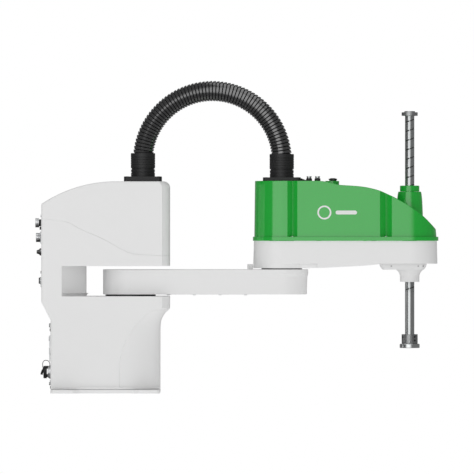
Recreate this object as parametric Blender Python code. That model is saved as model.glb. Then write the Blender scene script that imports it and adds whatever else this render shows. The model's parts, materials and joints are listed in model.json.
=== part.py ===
"""SCARA robot arm, four axes, 600 mm reach, with a 200 mm ball-screw spline quill.

Frame: origin on the first joint's axis at the mounting plane, +X along the straightened arm,
+Z up. Sizes below are in millimetres and every mesh is scaled to metres when it is made.
Shapes of the forearm are drawn from the second joint's axis, shapes of the quill from its own.
"""

import math

import bmesh
import bpy

MM = 0.001
GAP = 0.3

# Driving dimensions
ARM_1 = 325.0
ARM_2 = 275.0
HALF_WIDTH = 88.0
FRONT_WALL = 5.0
CAST_WALL = 6.0

# Base: heights from the mounting plane up, and faces along the arm
FOOT_TOP = 8.0
BODY_TOP = 207.6
HEAD_BOTTOM = 272.2
HEAD_TOP = 453.5
HEAD_FRONT = 84.5
HEAD_REAR = -190.0
FOOT_REAR = -170.0
FOOT_FRONT = 63.5
REAR_CORNER = 6.0
REAR_WINDOW = (62.0, 222.0, 388.0)

# Upper arm
ARM_BOTTOM = 211.3
ARM_TOP = 265.0
ARM_REAR_R = 59.0
ARM_FRONT_R = 56.8
ARM_FRONT_FOOT_R = 54.0

# Forearm
TRAY_BOTTOM = 277.0
TRAY_FLOOR = 283.0
TRAY_TOP = 326.0
TRAY_REAR_R = 60.4
TRAY_FRONT_R = 59.0
BOSS_BOTTOM = 267.5
LIP_TOP = 335.0
COVER_TOP = 455.0
COVER_REAR_R = 58.5
COVER_FRONT_R = 57.3
COVER_WALL = 3.5
CHANNELS = ((22.5, 10.5), (223.0, 12.6))
BUTTON_X = 110.0
PAD_X = 108.5
PAD_R = 14.85
KEEL_START = 76.0
KEEL_END = 209.0
KEEL_LOW = 268.2
KEEL_HALF = 46.0
TOWER_BOTTOM = 368.0
TOWER_TOP = 432.0
TOWER_CAP_TOP = 445.0

# Quill
SHAFT_R = 10.0
SHAFT_BORE_R = 10.5
TOOL_FACE = 96.0
SHAFT_BOTTOM = 105.3
SHAFT_TOP = 604.7
NECK_BOTTOM = 238.0

# Cable hose
HOSE_R = 22.15
HOSE_BEND_R = 149.15
HOSE_CENTRE = (175.85, 499.0)
HOSE_BASE_X = 26.7
HOSE_BASE_END = 520.4
HOSE_ARM_END = 518.6

# Drives inside the forearm: places, pulley radii and belt heights
Z_MOTOR_X = 105.0
R_MOTOR_X = 180.0
MOTOR_PULLEY_R = 12.0
Z_PULLEY_R = 24.0
R_PULLEY_R = 30.0
Z_BELT = (330.0, 342.0)
R_BELT = (290.0, 302.0)
BELT_CLEARANCE = 1.0
BELT_THICK = 1.5
PLATE = (350.0, 356.0)

WHITE = ((0.75, 0.75, 0.75), 0.4, 0.0)
GREEN = ((0.03, 0.46, 0.07), 0.35, 0.0)
BLACK = ((0.03, 0.03, 0.032), 0.55, 0.0)
DARK = ((0.08, 0.08, 0.085), 0.4, 0.5)
STEEL = ((0.55, 0.56, 0.56), 0.25, 1.0)
ALUMINIUM = ((0.62, 0.63, 0.64), 0.4, 1.0)
RUBBER = ((0.02, 0.02, 0.02), 0.8, 0.0)


def arc(centre, radius, start, end, steps):
    """Points on an arc, angles in degrees, both ends included."""
    angles = [math.radians(start + (end - start) * i / steps) for i in range(steps + 1)]
    return [(centre[0] + radius * math.cos(a), centre[1] + radius * math.sin(a)) for a in angles]


def circle(radius, segments=32, centre=(0.0, 0.0)):
    """A full circle of points."""
    return arc(centre, radius, 0.0, 360.0 * (segments - 1) / segments, segments - 1)


def wrapped(angle):
    """An angle in radians brought between -pi and pi."""
    return (angle + math.pi) % (2 * math.pi) - math.pi


def filleted(corners, steps=4):
    """A closed outline through (x, y, radius) corners, each rounded by an arc."""
    points = []
    count = len(corners)
    for i, (x, y, radius) in enumerate(corners):
        if radius == 0:
            points.append((x, y))
            continue
        before = math.atan2(corners[i - 1][1] - y, corners[i - 1][0] - x)
        after = corners[(i + 1) % count]
        after = math.atan2(after[1] - y, after[0] - x)
        half = wrapped(after - before) / 2
        reach = radius / abs(math.sin(half))
        centre = (x + reach * math.cos(before + half), y + reach * math.sin(before + half))
        side = math.copysign(math.pi / 2, half)
        first = before - side
        sweep = wrapped(after + side - first)
        points += arc(centre, radius, math.degrees(first), math.degrees(first + sweep), steps)
    return points


def rectangle(x0, x1, y0, y1, radius, steps=4):
    """A rectangle with rounded corners."""
    corners = ((x0, y0, radius), (x1, y0, radius), (x1, y1, radius), (x0, y1, radius))
    return filleted(corners, steps)


def mirrored(half):
    """A closed outline from its points with y > 0, repeated below the X axis."""
    return half + [(x, -y) for x, y in reversed(half)]


def capsule(x0, r0, x1, r1, steps=16):
    """The outline round two circles on the X axis, with their common tangents."""
    tilt = math.degrees(math.asin((r0 - r1) / (x1 - x0)))
    rear = arc((x0, 0), r0, 90 - tilt, 270 + tilt, steps)
    front = arc((x1, 0), r1, -90 + tilt, 90 - tilt, steps)
    return rear + front


def skin(rings, closed=False):
    """An object whose surface joins rings of equal length; open stacks get flat end caps."""
    bm = bmesh.new()
    loops = [[bm.verts.new([c * MM for c in p]) for p in ring] for ring in rings]
    pairs = list(zip(loops, loops[1:]))
    if closed:
        pairs.append((loops[-1], loops[0]))
    else:
        bm.faces.new(loops[0])
        bm.faces.new(loops[-1])
    for low, high in pairs:
        for i in range(len(low)):
            j = (i + 1) % len(low)
            bm.faces.new((low[i], low[j], high[j], high[i]))
    bmesh.ops.recalc_face_normals(bm, faces=bm.faces)
    mesh = bpy.data.meshes.new("solid")
    bm.to_mesh(mesh)
    bm.free()
    solid = bpy.data.objects.new("solid", mesh)
    bpy.context.scene.collection.objects.link(solid)
    return solid


def level(outline, z):
    """A plan outline at height z."""
    return [(x, y, z) for x, y in outline]


def prism(outline, low, high):
    """A plan outline extruded upwards."""
    return skin([level(outline, low), level(outline, high)])


def frame_prism(outer, inner, low, high):
    """A plan ring extruded upwards."""
    return skin([level(outer, low), level(outer, high), level(inner, high), level(inner, low)], True)


def side_prism(outline, half_width):
    """An (x, z) outline extruded both ways along Y."""
    return skin([[(x, y, z) for x, z in outline] for y in (-half_width, half_width)])


def turned(profile, segments=24, centre=(0.0, 0.0), closed=False):
    """A solid of revolution about Z from (radius, z) points; closed profiles have a bore."""
    return skin([level(circle(r, segments, centre), z) for r, z in profile], closed)


def sleeve(inner, outer, low, high, segments=24, centre=(0.0, 0.0)):
    """A plain tube about a vertical axis."""
    profile = ((inner, low), (outer, low), (outer, high), (inner, high))
    return turned(profile, segments, centre, True)


def lying(profile, y=0.0, z=0.0, segments=16):
    """A solid of revolution about an axis along X from (x, radius) points."""
    rings = []
    for x, radius in profile:
        rings.append([(x, y + a, z + b) for a, b in circle(radius, segments)])
    return skin(rings)


def combine(target, tool, operation):
    """Cut, join or intersect target with tool, keeping only the result."""
    modifier = target.modifiers.new(operation, "BOOLEAN")
    modifier.operation = operation
    modifier.object = tool
    bpy.context.view_layer.update()
    evaluated = target.evaluated_get(bpy.context.evaluated_depsgraph_get())
    mesh = bpy.data.meshes.new_from_object(evaluated)
    target.modifiers.clear()
    target.data = mesh
    bpy.data.objects.remove(tool)
    return target


def cut(target, *tools):
    for tool in tools:
        combine(target, tool, "DIFFERENCE")
    return target


def join(target, *tools):
    for tool in tools:
        combine(target, tool, "UNION")
    return target


def finish(name, solid, look, joint=None):
    """Name a solid, give it its own material and hang it on its joint."""
    colour, roughness, metallic = look
    material = bpy.data.materials.new(name)
    material.use_nodes = True
    shader = material.node_tree.nodes["Principled BSDF"]
    shader.inputs["Base Color"].default_value = (*colour, 1.0)
    shader.inputs["Roughness"].default_value = roughness
    shader.inputs["Metallic"].default_value = metallic
    solid.name = name
    solid.data.name = name
    solid.data.materials.clear()
    solid.data.materials.append(material)
    if solid.type == "MESH":
        solid.data.shade_smooth()
        solid.data.set_sharp_from_angle(angle=math.radians(30))
    solid.parent = joint
    return solid


def joint_axis(name, x, parent=None):
    """An empty on a joint's axis, at distance x along the arm from its parent."""
    empty = bpy.data.objects.new(name, None)
    empty.location = (x * MM, 0, 0)
    empty.parent = parent
    bpy.context.scene.collection.objects.link(empty)
    return empty


# ---------------------------------------------------------------- base

# Height, rear face, front face and start of the front corner rounding of the lower body
BODY_LEVELS = (
    (FOOT_TOP + GAP, -170.0, 64.0, -22.0),
    (60.0, -170.0, 64.0, -22.0),
    (82.0, -170.0, 64.0, -18.0),
    (102.0, -170.0, 64.0, -12.0),
    (122.0, -170.0, 64.0, -3.5),
    (138.0, -170.0, 64.0, 6.5),
    (148.0, -170.0, 64.7, 14.0),
    (156.0, -170.0, 66.2, 22.0),
    (163.0, -173.4, 69.2, 30.0),
    (169.0, -176.3, 72.9, 37.0),
    (174.6, -179.1, 77.5, 47.0),
    (178.0, -180.7, 81.7, 57.0),
    (182.0, -182.7, 84.5, 68.5),
    (197.0, -190.0, 84.5, 68.5),
    (BODY_TOP, -190.0, 84.5, 68.5),
)
CAVITY_LEVELS = (
    (5.0, -170.0, 64.0, -22.0),
    (60.0, -170.0, 64.0, -22.0),
    (122.0, -170.0, 64.0, -3.5),
    (156.0, -170.0, 66.2, 22.0),
    (200.0, -190.0, 84.5, 68.5),
)

# The front corners: length along X, depth along Y and angle of the crease where they start,
# for the short corner of the head and the long one of the foot
SHORT_CORNER = (16.0, 30.7, 35.0)
LONG_CORNER = (86.0, 60.0, 0.0)


def base_outline(rear, front, start, inset=0.0):
    """A plan outline of the base: small rear corners, creased elliptical front corners."""
    half = HALF_WIDTH - inset
    front -= inset
    rear += inset
    start -= inset
    length = front - start
    ease = (length - SHORT_CORNER[0]) / (LONG_CORNER[0] - SHORT_CORNER[0])
    depth, crease = [a + ease * (b - a) for a, b in zip(SHORT_CORNER[1:], LONG_CORNER[1:])]
    half_outline = arc((rear + REAR_CORNER, half - REAR_CORNER), REAR_CORNER, 180, 90, 3)
    first = math.radians(crease)
    steps = 7
    for i in range(steps + 1):
        angle = first + (math.pi / 2 - first) * i / steps
        x = start + length * (math.sin(angle) - math.sin(first)) / (1 - math.sin(first))
        y = half - depth * (math.cos(first) - math.cos(angle)) / math.cos(first)
        half_outline.append((x, y))
    return mirrored(half_outline)


def foot_plate():
    """Mounting plate with four eared bolt holes."""
    ear, waist, radius = 112.0, 94.0, 8.0
    half = [
        (FOOT_REAR, ear, radius),
        (-118.0, ear, radius),
        (-110.0, waist, radius),
        (8.0, waist, radius),
        (16.0, ear, radius),
        (FOOT_FRONT, ear, radius),
    ]
    corners = half + [(x, -y, r) for x, y, r in reversed(half)]
    plate = prism(filleted(corners, 3), 0.0, FOOT_TOP)
    for x in (-148.0, 42.0):
        for y in (-100.0, 100.0):
            cut(plate, turned(((4.5, -5.0), (4.5, FOOT_TOP + 5.0)), 12, (x, y)))
    finish("foot_plate", plate, WHITE)


def lower_body():
    """Hollow casting that carries the first joint: open below, with a rear service window."""
    shell = skin([level(base_outline(*row[1:]), row[0]) for row in BODY_LEVELS])
    hollow = skin([level(base_outline(*row[1:], CAST_WALL), row[0]) for row in CAVITY_LEVELS])
    bore = turned(((45.0, 190.0), (45.0, 215.0)))
    window = prism(rectangle(-180.0, -150.0, -70.0, 70.0, 4.0), 18.0, 150.0)
    finish("lower_body", cut(shell, hollow, bore, window), WHITE)


def rear_window():
    """The cutter for the connector panel's window."""
    half, low, high = REAR_WINDOW
    return prism(rectangle(-200.0, -170.0, -half, half, 3.0), low, high)


def neck():
    """Tapered column that carries the head over the upper arm."""
    half = [
        (HEAD_REAR, HALF_WIDTH, REAR_CORNER),
        (-146.0, HALF_WIDTH, 0.0),
        (-146.0, 74.0, 0.0),
        (-95.0, 17.0, 10.0),
    ]
    corners = half + [(x, -y, r) for x, y, r in reversed(half)]
    column = prism(filleted(corners), BODY_TOP + GAP, HEAD_BOTTOM - GAP)
    duct = prism(rectangle(-184.0, -152.0, -80.0, 80.0, 4.0), BODY_TOP - 10, HEAD_BOTTOM + 10)
    finish("neck", cut(column, duct, rear_window()), WHITE)


SEAM = (
    (-205.0, 374.0),
    (-180.0, 372.0),
    (-136.0, 367.0),
    (-110.0, 353.0),
    (-58.5, 330.5),
    (-27.0, 313.0),
    (-3.0, 301.0),
    (17.0, 297.0),
    (69.0, 295.0),
    (100.0, 294.5),
)


def seam_curve(lift=0.0, steps=3):
    """The parting line between head frame and cover: a smooth curve through the seam points."""
    points = []
    for i in range(1, len(SEAM) - 2):
        p0, p1, p2, p3 = SEAM[i - 1 : i + 3]
        for k in range(steps):
            t = k / steps
            point = []
            for a, b, c, d in zip(p0, p1, p2, p3):
                cubic = (-a + 3 * b - 3 * c + d) * t**3 + (2 * a - 5 * b + 4 * c - d) * t * t
                point.append(b + ((c - a) * t + cubic) / 2)
            points.append((point[0], point[1] + lift))
    ends = [SEAM[0]], [SEAM[-2], SEAM[-1]]
    first, last = [[(x, z + lift) for x, z in end] for end in ends]
    return first + points + last


def head_plan(low, high, inset=0.0):
    """The head's plan outline as a tall prism."""
    outline = base_outline(HEAD_REAR, HEAD_FRONT, HEAD_FRONT - SHORT_CORNER[0], inset)
    return prism(outline, low, high)


def head_profile(inset=0.0):
    """The head's crown: a long arc from the rear, flat top and a rounded front corner."""
    crown = arc((-30.0, 166.0), 287.5 - inset, 128.0, 90.0, 12)
    nose = arc((HEAD_FRONT - 12.5, HEAD_TOP - 12.5), 12.6 - inset, 88.0, 0.0, 6)
    return crown + nose


def head_frame():
    """Lower part of the head, below the seam, with a floor that opens into the neck."""
    below = [(100.0, HEAD_BOTTOM), (-205.0, HEAD_BOTTOM)]
    body = combine(side_prism(seam_curve() + below, 120.0), head_plan(250.0, 500.0), "INTERSECT")
    room = head_plan(HEAD_BOTTOM + CAST_WALL, 500.0, FRONT_WALL)
    duct = prism(rectangle(-184.0, -152.0, -60.0, 60.0, 4.0), 250.0, 300.0)
    finish("head_frame", cut(body, room, duct, rear_window()), WHITE)


def head_cover():
    """Upper shell of the head, from the seam to the crown, with the hose opening."""
    seam = list(reversed(seam_curve(GAP)))
    shell = combine(side_prism(head_profile() + seam, 120.0), head_plan(250.0, 500.0), "INTERSECT")
    inner = head_profile(FRONT_WALL) + [(HEAD_FRONT + 8.0, 260.0), (-230.0, 260.0)]
    room = combine(side_prism(inner, 120.0), head_plan(240.0, 500.0, FRONT_WALL), "INTERSECT")
    hole = turned(((20.0, 440.0), (20.0, 470.0)), 24, (HOSE_BASE_X, 0.0))
    finish("head_cover", cut(shell, room, hole, rear_window()), WHITE)


def rear_panels():
    """Connector panel of the head, service panel and I/O plate of the lower body."""
    half, low, high = REAR_WINDOW
    panel = (HEAD_REAR, HEAD_REAR + 2.5, -half + GAP, half - GAP, 1.0)
    finish("connector_panel", prism(rectangle(*panel), low + GAP, high - GAP), WHITE)
    service = (FOOT_REAR, FOOT_REAR + 3.0, -70.0 + GAP, 70.0 - GAP, 1.0)
    finish("service_panel", prism(rectangle(*service), 18.0 + GAP, 150.0 - GAP), WHITE)
    plate = (FOOT_REAR - 5.0, FOOT_REAR - GAP, -42.0, 42.0, 1.0)
    finish("io_plate", prism(rectangle(*plate), 68.0, 123.0), ALUMINIUM)


def rear_connectors():
    """Connectors and ports on the two rear panels."""
    face = HEAD_REAR - GAP
    for name, z, y, reach in (("encoder_connector", 365.0, -26.0, 204.0),
                              ("motor_connector", 333.5, 14.0, 203.5)):
        profile = ((face, 12.0), (-193.6, 12.0), (-194.0, 9.6), (-196.4, 9.6), (-196.6, 9.4),
                   (-reach, 9.4), (-reach, 7.0), (-198.0, 7.0))
        finish(name, lying(profile, y, z), STEEL)
    port = ((face, 6.0), (-193.0, 6.0), (-193.0, 8.8), (-196.5, 8.8), (-197.0, 5.2), (-201.0, 3.6))
    finish("air_port", lying(port, -34.0, 302.5, 16), DARK)
    signal = prism(rectangle(-197.0, face, -20.0, 12.0, 1.0), 232.0, 248.0)
    finish("signal_connector", signal, BLACK)
    face = FOOT_REAR - GAP
    receptacle = ((face, 14.0), (-173.0, 14.0), (-173.0, 12.5), (-176.5, 12.5), (-176.5, 9.5),
                  (-172.0, 9.5))
    finish("power_receptacle", lying(receptacle, -20.0, 44.5), STEEL)
    cap = ((-176.5 - GAP, 10.0), (-178.0, 13.5), (-186.0, 13.5), (-187.0, 12.0))
    finish("receptacle_cap", lying(cap, -20.0, 44.5), BLACK)


def motor_rings(half, low, high, recess_r, flange=6.0, down=True):
    """Levels of a square servo motor with a blind shaft recess in its mounting face."""
    steps = 3
    corner = 0.16 * half
    count = 4 * (steps + 1)
    side = 1.0 if down else -1.0
    face, back = (low, high) if down else (high, low)
    first = math.degrees(math.atan2(-half + corner, -half))
    hole = arc((0, 0), recess_r, first, first + 360.0 * (count - 1) / count, count - 1)

    def square(size, z):
        return level(rectangle(-size, size, -size, size, corner, steps), z)

    return [
        level(hole, face + side * 9.0),
        level(hole, face),
        square(half, face),
        square(half, face + side * flange),
        square(half * 0.9, face + side * (flange + 0.5)),
        square(half * 0.9, back - side * 30.0),
        square(half * 0.8, back - side * 29.0),
        square(half * 0.8, back),
    ]


def base_drive():
    """First joint's servo motor and its strain-wave reducer, inside the lower body."""
    finish("j1_motor", skin(motor_rings(40.0, 40.0, 159.7, 8.0, down=False)), DARK)
    reducer = ((8.5, 160.0), (52.0, 160.0), (52.0, 199.7), (41.0, 199.7), (41.0, 166.0),
               (8.5, 166.0))
    finish("j1_reducer", turned(reducer, closed=True), STEEL)


def hose_collar(name, low, high, x, joint):
    """Turned gland that grips one end of the cable hose."""
    groove = low + 13.0
    profile = ((18.0, low), (26.0, low), (26.0, groove), (24.6, groove + 1.0), (24.6, groove + 2.6),
               (26.0, groove + 3.6), (26.0, high), (18.0, high))
    finish(name, turned(profile, 24, (x, 0.0), True), BLACK, joint)


def hose_flange(name, low, high, x, joint):
    """Square mounting flange under a hose collar."""
    steps = 3
    half = 40.5
    outer = rectangle(x - half, x + half, -half, half, 6.0, steps)
    count = len(outer)
    first = math.degrees(math.atan2(-half + 6.0, -half))
    inner = arc((x, 0.0), 18.0, first, first + 360.0 * (count - 1) / count, count - 1)
    finish(name, frame_prism(outer, inner, low, high), BLACK, joint)


def base():
    foot_plate()
    lower_body()
    neck()
    head_frame()
    head_cover()
    rear_panels()
    rear_connectors()
    base_drive()
    hose_flange("base_hose_flange", HEAD_TOP + GAP, 464.4, HOSE_BASE_X, None)
    hose_collar("base_hose_collar", 464.4 + GAP, 514.7, HOSE_BASE_X, None)


# ---------------------------------------------------------------- upper arm


def upper_arm(joint):
    """First link: a casting with a pocket below, closed by a cover plate."""
    levels = ((ARM_BOTTOM, ARM_FRONT_FOOT_R), (249.0, 55.0), (256.0, ARM_FRONT_R), (ARM_TOP, ARM_FRONT_R))
    arm = skin([level(capsule(0.0, ARM_REAR_R, ARM_1, r), z) for z, r in levels])
    pocket = rectangle(75.0, 255.0, -44.0, 44.0, 10.0)
    cut(arm, prism(pocket, 200.0, ARM_TOP - CAST_WALL))
    cut(arm, turned(((40.5, 228.0), (40.5, 280.0)), 32, (ARM_1, 0.0)))
    finish("upper_arm", arm, WHITE, joint)
    lid = rectangle(75.0 + GAP, 255.0 - GAP, -44.0 + GAP, 44.0 - GAP, 10.0)
    finish("arm_bottom_cover", prism(lid, ARM_BOTTOM, ARM_BOTTOM + 3.0), WHITE, joint)
    block = rectangle(251.0, 263.0, -7.0, 7.0, 1.5, 2)
    finish("j2_stop_block", prism(block, ARM_TOP + GAP, 275.6), WHITE, joint)


def arm_reducers(joint):
    """Output hub of the first joint and the second joint's reducer."""
    hub = ((40.0, 184.0), (40.0, BODY_TOP + GAP), (54.0, BODY_TOP + GAP), (54.0, ARM_BOTTOM - GAP))
    finish("j1_output_flange", turned(hub, 32), DARK, joint)
    reducer = ((8.5, 228.3), (40.0, 228.3), (40.0, ARM_TOP + GAP), (43.6, ARM_TOP + GAP),
               (43.6, BOSS_BOTTOM - GAP), (8.5, BOSS_BOTTOM - GAP))
    finish("j2_reducer", turned(reducer, 24, (ARM_1, 0.0), True), DARK, joint)


def cable_hose(joint):
    """Cable hose, bent in a half circle from the head to the second joint's axis."""
    curve = bpy.data.curves.new("cable_hose", "CURVE")
    curve.dimensions = "3D"
    curve.bevel_depth = HOSE_R * MM
    curve.bevel_resolution = 2
    curve.use_fill_caps = True
    start = 180 - math.degrees(math.asin((HOSE_BASE_END - HOSE_CENTRE[1]) / HOSE_BEND_R))
    end = math.degrees(math.asin((HOSE_ARM_END - HOSE_CENTRE[1]) / HOSE_BEND_R))
    path = arc(HOSE_CENTRE, HOSE_BEND_R, start, end, 18)
    spline = curve.splines.new("POLY")
    spline.points.add(len(path) - 1)
    for point, (x, z) in zip(spline.points, path):
        point.co = (x * MM, 0.0, z * MM, 1.0)
    hose = bpy.data.objects.new("cable_hose", curve)
    bpy.context.scene.collection.objects.link(hose)
    finish("cable_hose", hose, BLACK, joint)


# ---------------------------------------------------------------- forearm


def keel_side(start, end_z=280.0):
    """Side view of the keel under the tray, from a start along the forearm to its shallow end."""
    return [
        (start, KEEL_LOW),
        (85.0, KEEL_LOW),
        (150.0, 271.6),
        (KEEL_END, 276.6),
        (KEEL_END, end_z),
        (start, end_z),
    ]


def forearm_casing(joint):
    """Tray of the forearm with its joint boss and the keel below.

    The keel is as wide as the tray beyond the stop block's reach, and narrow near the boss.
    """
    tray = prism(capsule(0.0, TRAY_REAR_R, ARM_2, TRAY_FRONT_R), TRAY_BOTTOM, TRAY_TOP)
    boss = turned(((58.0, BOSS_BOTTOM), (58.0, TRAY_BOTTOM + 3.0)), 40)
    flush = capsule(0.0, TRAY_REAR_R - GAP, ARM_2, TRAY_FRONT_R - GAP)
    keel = combine(side_prism(keel_side(KEEL_START), 90.0), prism(flush, 260.0, 290.0), "INTERSECT")
    join(tray, boss, keel, side_prism(keel_side(0.0, 279.0), KEEL_HALF))
    room = capsule(0.0, TRAY_REAR_R - CAST_WALL, ARM_2, TRAY_FRONT_R - CAST_WALL, 12)
    cut(tray, prism(room, TRAY_FLOOR, TRAY_TOP + 10.0))
    cut(tray, turned(((15.0, 260.0), (15.0, 290.0)), 24))
    cut(tray, turned(((19.5, 260.0), (19.5, 290.0)), 24, (ARM_2, 0.0)))
    finish("forearm_casing", tray, WHITE, joint)


def cover_profile(drop=0.0):
    """Side view of the cover's top edge: flat to past the hose, then a long slope to the front."""
    top = [
        (-70.0, COVER_TOP),
        (80.0, COVER_TOP),
        (95.0, 453.2),
        (110.0, 449.5),
        (124.0, 446.3),
        (150.0, 444.6),
        (173.0, 442.5),
        (205.0, 435.4),
        (236.5, 422.0),
        (268.0, 404.5),
        (303.5, 379.0),
        (331.0, 351.5),
        (345.0, 330.0),
    ]
    return [(x - drop / 2, z - drop) if x > 100 else (x, z - drop) for x, z in top]


def channel(x, radius, side, low, high, segments=12):
    """A vertical screw channel's cylinder, at the cover's side face."""
    return turned(((radius, low), (radius, high)), segments, (x, side * (COVER_REAR_R + 1.0)))


def forearm_cover(joint):
    """Moulded cover: base lip, screw channels, a raised button pad and openings for hose and quill."""
    outer = side_prism(cover_profile() + [(345.0, 320.0), (-70.0, 320.0)], 90.0)
    plan = capsule(0.0, COVER_REAR_R, ARM_2, COVER_FRONT_R, 16)
    cover = combine(outer, prism(plan, LIP_TOP - 3.0, 480.0), "INTERSECT")
    for x, radius in CHANNELS:
        for side in (-1, 1):
            cut(cover, channel(x, radius, side, LIP_TOP - 20.0, 480.0))
    lip = prism(capsule(0.0, 62.0, ARM_2, 61.7, 16), TRAY_TOP + GAP, LIP_TOP)
    pad = turned(((PAD_R, COVER_TOP - 15.0), (PAD_R, COVER_TOP)), 24, (PAD_X, 0.0))
    join(cover, lip, pad)
    inner = side_prism(cover_profile(COVER_WALL) + [(345.0, 300.0), (-70.0, 300.0)], 90.0)
    room_plan = capsule(0.0, COVER_REAR_R - COVER_WALL, ARM_2, COVER_FRONT_R - COVER_WALL, 12)
    room = combine(inner, prism(room_plan, 310.0, 480.0), "INTERSECT")
    for x, radius in CHANNELS:
        for side in (-1, 1):
            cut(room, channel(x, radius + COVER_WALL, side, 290.0, 490.0))
    cut(cover, room)
    cut(cover, turned(((20.0, 440.0), (20.0, 470.0)), 24))
    cut(cover, turned(((7.0, 440.0), (7.0, 470.0)), 16, (BUTTON_X, 0.0)))
    cut(cover, turned(((29.0, 345.0), (29.0, 470.0)), 32, (ARM_2, 0.0)))
    finish("forearm_cover", cover, GREEN, joint)


def shaft_tower(joint):
    """Conical guide tower round the quill, and its cap."""
    profile = ((17.0, TOWER_BOTTOM), (28.4, TOWER_BOTTOM), (28.4, 384.0), (27.0, 415.0),
               (24.7, TOWER_TOP - 1.0), (23.7, TOWER_TOP), (13.0, TOWER_TOP), (13.0, 380.0),
               (17.0, 380.0))
    finish("shaft_tower", turned(profile, 24, (ARM_2, 0.0), True), GREEN, joint)
    low = TOWER_TOP + GAP
    profile = ((SHAFT_BORE_R, low), (21.3, low), (21.3, TOWER_CAP_TOP - 1.0),
               (20.3, TOWER_CAP_TOP), (SHAFT_BORE_R, TOWER_CAP_TOP))
    finish("tower_cap", turned(profile, 24, (ARM_2, 0.0), True), GREEN, joint)


def spindle_bracket(joint):
    """Bearing bracket of the spline nut, bolted below the casing."""
    top = rectangle(210.0, 312.0, -36.0, 36.0, 12.0)
    bottom = rectangle(219.0, 304.0, -30.0, 30.0, 10.0)
    plate = skin([level(bottom, 264.5), level(top, 271.0), level(top, TRAY_BOTTOM - GAP)])
    profile = ((21.0, NECK_BOTTOM), (21.0, 250.0), (22.5, 256.0), (26.0, 261.0), (29.0, 263.5),
               (29.0, 268.0))
    join(plate, turned(profile, 24, (ARM_2, 0.0)))
    cut(plate, turned(((17.6, 230.0), (17.6, 290.0)), 24, (ARM_2, 0.0)))
    finish("spindle_bracket", plate, WHITE, joint)
    seal = sleeve(SHAFT_BORE_R, 17.3, NECK_BOTTOM + 0.2, NECK_BOTTOM + 1.7, 24, (ARM_2, 0.0))
    finish("shaft_seal", seal, RUBBER, joint)


def belt(x, motor_r, pulley_r, heights):
    """A timing belt round a motor pulley at x and the quill's pulley."""
    outlines = []
    for offset in (BELT_CLEARANCE + BELT_THICK, BELT_CLEARANCE):
        outlines.append(capsule(x, motor_r + offset, ARM_2, pulley_r + offset, 10))
    return frame_prism(*outlines, *heights)


def forearm_drives(joint):
    """Motors, their plate and the belts inside the forearm."""
    finish("j2_motor", skin(motor_rings(30.0, TRAY_FLOOR + GAP, 375.0, 7.0)), DARK, joint)
    plate = prism(rectangle(72.0, 206.0, -44.0, 44.0, 5.0), *PLATE)
    for x in (80.0, 198.0):
        for y in (-37.0, 37.0):
            join(plate, turned(((5.0, TRAY_FLOOR + GAP), (5.0, PLATE[1] - 2.0)), 8, (x, y)))
    for x in (Z_MOTOR_X, R_MOTOR_X):
        cut(plate, turned(((15.0, 340.0), (15.0, 370.0)), 24, (x, 0.0)))
    finish("motor_plate", plate, ALUMINIUM, joint)
    for name, x, top in (("z_motor", Z_MOTOR_X, 436.0), ("r_motor", R_MOTOR_X, 420.0)):
        rings = motor_rings(25.0, PLATE[1] + GAP, top, 4.5)
        rings = [[(x + px, y, z) for px, y, z in ring] for ring in rings]
        finish(name, skin(rings), DARK, joint)
    finish("z_belt", belt(Z_MOTOR_X, MOTOR_PULLEY_R, Z_PULLEY_R, Z_BELT), RUBBER, joint)
    finish("r_belt", belt(R_MOTOR_X, MOTOR_PULLEY_R, R_PULLEY_R, R_BELT), RUBBER, joint)


def forearm_fittings(joint):
    """Hose gland, air fittings and the brake button's bezel on the cover."""
    hose_flange("arm_hose_flange", COVER_TOP + GAP, 462.5, 0.0, joint)
    hose_collar("arm_hose_collar", 462.5 + GAP, 512.8, 0.0, joint)
    foot = COVER_TOP + GAP
    profile = ((7.0, foot), (7.0, foot + 1.5), (4.2, foot + 2.4), (3.4, foot + 4.5),
               (4.6, foot + 7.0), (4.6, foot + 9.0), (2.4, foot + 9.7))
    for number, x in enumerate((58.7, 76.8), 1):
        finish(f"air_fitting_{number}", turned(profile, 16, (x, -8.0)), STEEL, joint)
    bezel = sleeve(6.9, 9.2, foot, foot + 4.5, 24, (BUTTON_X, 0.0))
    finish("button_bezel", bezel, BLACK, joint)


def brake_button(joint):
    """Push button that frees the quill's brake."""
    profile = ((6.2, COVER_TOP - 10.0), (6.2, COVER_TOP + 5.2), (5.4, COVER_TOP + 6.0))
    finish("brake_button", turned(profile, 20), BLACK, joint)


def forearm(joint):
    forearm_casing(joint)
    forearm_cover(joint)
    shaft_tower(joint)
    spindle_bracket(joint)
    forearm_drives(joint)
    forearm_fittings(joint)


def motor_pulley(name, heights, shaft_top, joint):
    """Small toothed pulley and the motor shaft above it."""
    low, high = heights[0] - 2.0, heights[1] + 2.0
    profile = ((MOTOR_PULLEY_R, low), (MOTOR_PULLEY_R, high), (4.0, high), (4.0, shaft_top))
    finish(name, turned(profile, 16), ALUMINIUM, joint)


# ---------------------------------------------------------------- quill


def nuts(spline_joint, ball_joint):
    """Spline nut and ball nut round the shaft, each with its pulley."""
    spline = sleeve(SHAFT_BORE_R, 17.0, NECK_BOTTOM + 2.0, 306.0)
    finish("spline_nut", spline, STEEL, spline_joint)
    finish("r_pulley", sleeve(17.3, R_PULLEY_R, 288.0, 304.0), ALUMINIUM, spline_joint)
    finish("ball_nut", sleeve(SHAFT_BORE_R, 16.0, 320.0, 364.0), STEEL, ball_joint)
    finish("z_pulley", sleeve(16.3, Z_PULLEY_R, 328.0, 344.0), ALUMINIUM, ball_joint)


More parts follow.
